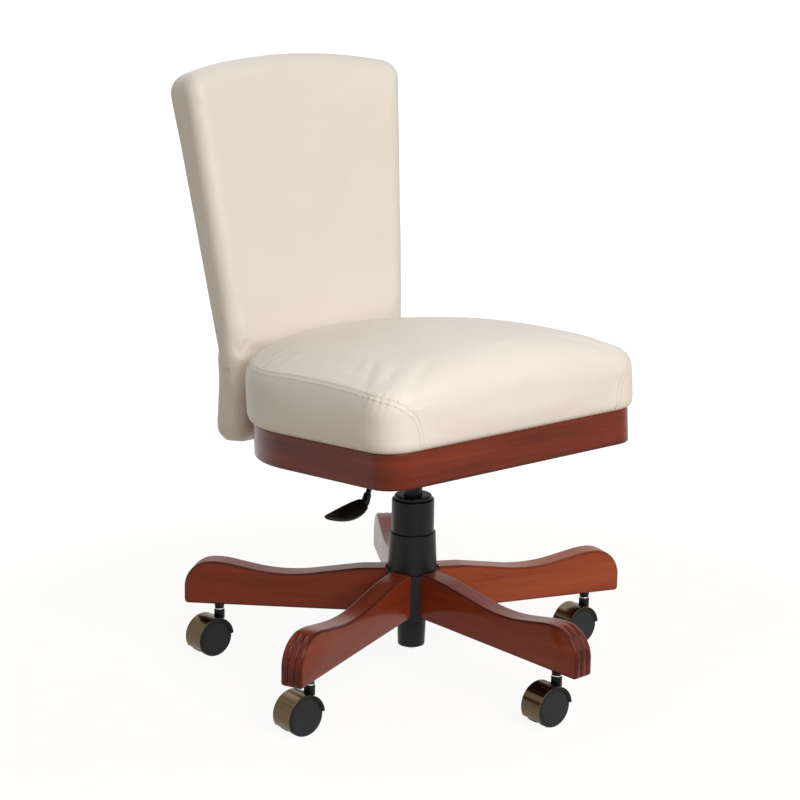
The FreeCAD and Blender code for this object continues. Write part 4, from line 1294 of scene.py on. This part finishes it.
def studio_floor():
    """White floor: to the camera mostly lit from within, with a faint shadow left, and plain otherwise."""
    finish, tree, shader = new_finish("studio_floor")
    tree.nodes.remove(shader)
    plain = node(tree, "BsdfDiffuse", {"Color": floor_shade}).outputs["BSDF"]
    glow = node(tree, "Emission", {"Color": (1, 1, 1, 1), "Strength": floor_strength}).outputs["Emission"]
    place = node(tree, "TexCoord").outputs["Object"]
    away = node(tree, "VectorMath", {0: place}, operation="LENGTH").outputs["Value"]
    near, far = floor_fade
    fade = node(tree, "MapRange", {"Value": away, "From Min": near, "From Max": far, "To Min": floor_glow})
    share = worked(tree, "MULTIPLY", fade.outputs["Result"], seen_plainly(tree))
    mixed = node(tree, "MixShader", {0: share, 1: plain, 2: glow}).outputs["Shader"]
    tree.links.new(mixed, tree.nodes["Material Output"].inputs["Surface"])
    corners = np.array([(-1, -1, 0), (1, -1, 0), (1, 1, 0), (-1, 1, 0)]) * floor_side
    ground = loose_object("floor", corners, [(0, 1, 2, 3)])
    ground.data.materials.append(finish)


def studio_world():
    """White to the camera; to the chair a dim room that brightens overhead."""
    world = bpy.data.worlds.new("studio")
    scene.world = world
    world.use_nodes = True
    tree = world.node_tree
    place = node(tree, "TexCoord").outputs["Generated"]
    height = node(tree, "SeparateXYZ", {0: place}).outputs["Z"]
    room = ramp(tree, height, (0.0, room_low), (1.0, room_high))
    shade = node(tree, "Mix", {"Factor": seen_plainly(tree), "A": room, "B": (1, 1, 1, 1)}, data_type="RGBA")
    tree.links.new(shade.outputs[2], tree.nodes["Background"].inputs["Color"])


def studio_lamps():
    """Soft lamps aimed at the chair."""
    aim = Vector(lamp_aim)
    for name, (spot, size, power) in LAMPS.items():
        light = bpy.data.lights.new(name, "AREA")
        light.size = size
        light.energy = power
        lamp = bpy.data.objects.new(name, light)
        lamp.location = spot
        lamp.rotation_euler = (aim - lamp.location).to_track_quat("-Z", "Y").to_euler()
        scene.collection.objects.link(lamp)


def studio_camera():
    """Camera where the chair was photographed from."""
    back = np.array([
        math.sin(view_azimuth) * math.cos(view_elevation),
        -math.cos(view_azimuth) * math.cos(view_elevation),
        math.sin(view_elevation)])
    right = np.array([math.cos(view_azimuth), math.sin(view_azimuth), 0.0])
    up = np.cross(back, right)
    target = right * view_aim[0] + np.array([0, 0, view_aim[1]])
    place = (target + back * view_distance) * METRE
    turned_right = math.cos(view_roll) * right + math.sin(view_roll) * up
    turned_up = math.cos(view_roll) * up - math.sin(view_roll) * right
    lens = bpy.data.cameras.new("camera")
    lens.sensor_width = sensor_mm
    lens.lens = focal_pixels * sensor_mm / frame_pixels
    camera = bpy.data.objects.new("camera", lens)
    axes = np.stack([turned_right, turned_up, back], -1)
    camera.matrix_world = Matrix.Translation(place.tolist()) @ Matrix(axes.tolist()).to_4x4()
    scene.collection.objects.link(camera)
    scene.camera = camera


build_apron()
build_seat_cover()
build_back_cover()
build_legs()
build_column()
build_casters()
build_stems()
build_paddle()
dress_frame()
studio_floor()
studio_world()
studio_lamps()
studio_camera()
scene.view_settings.view_transform = "Standard"
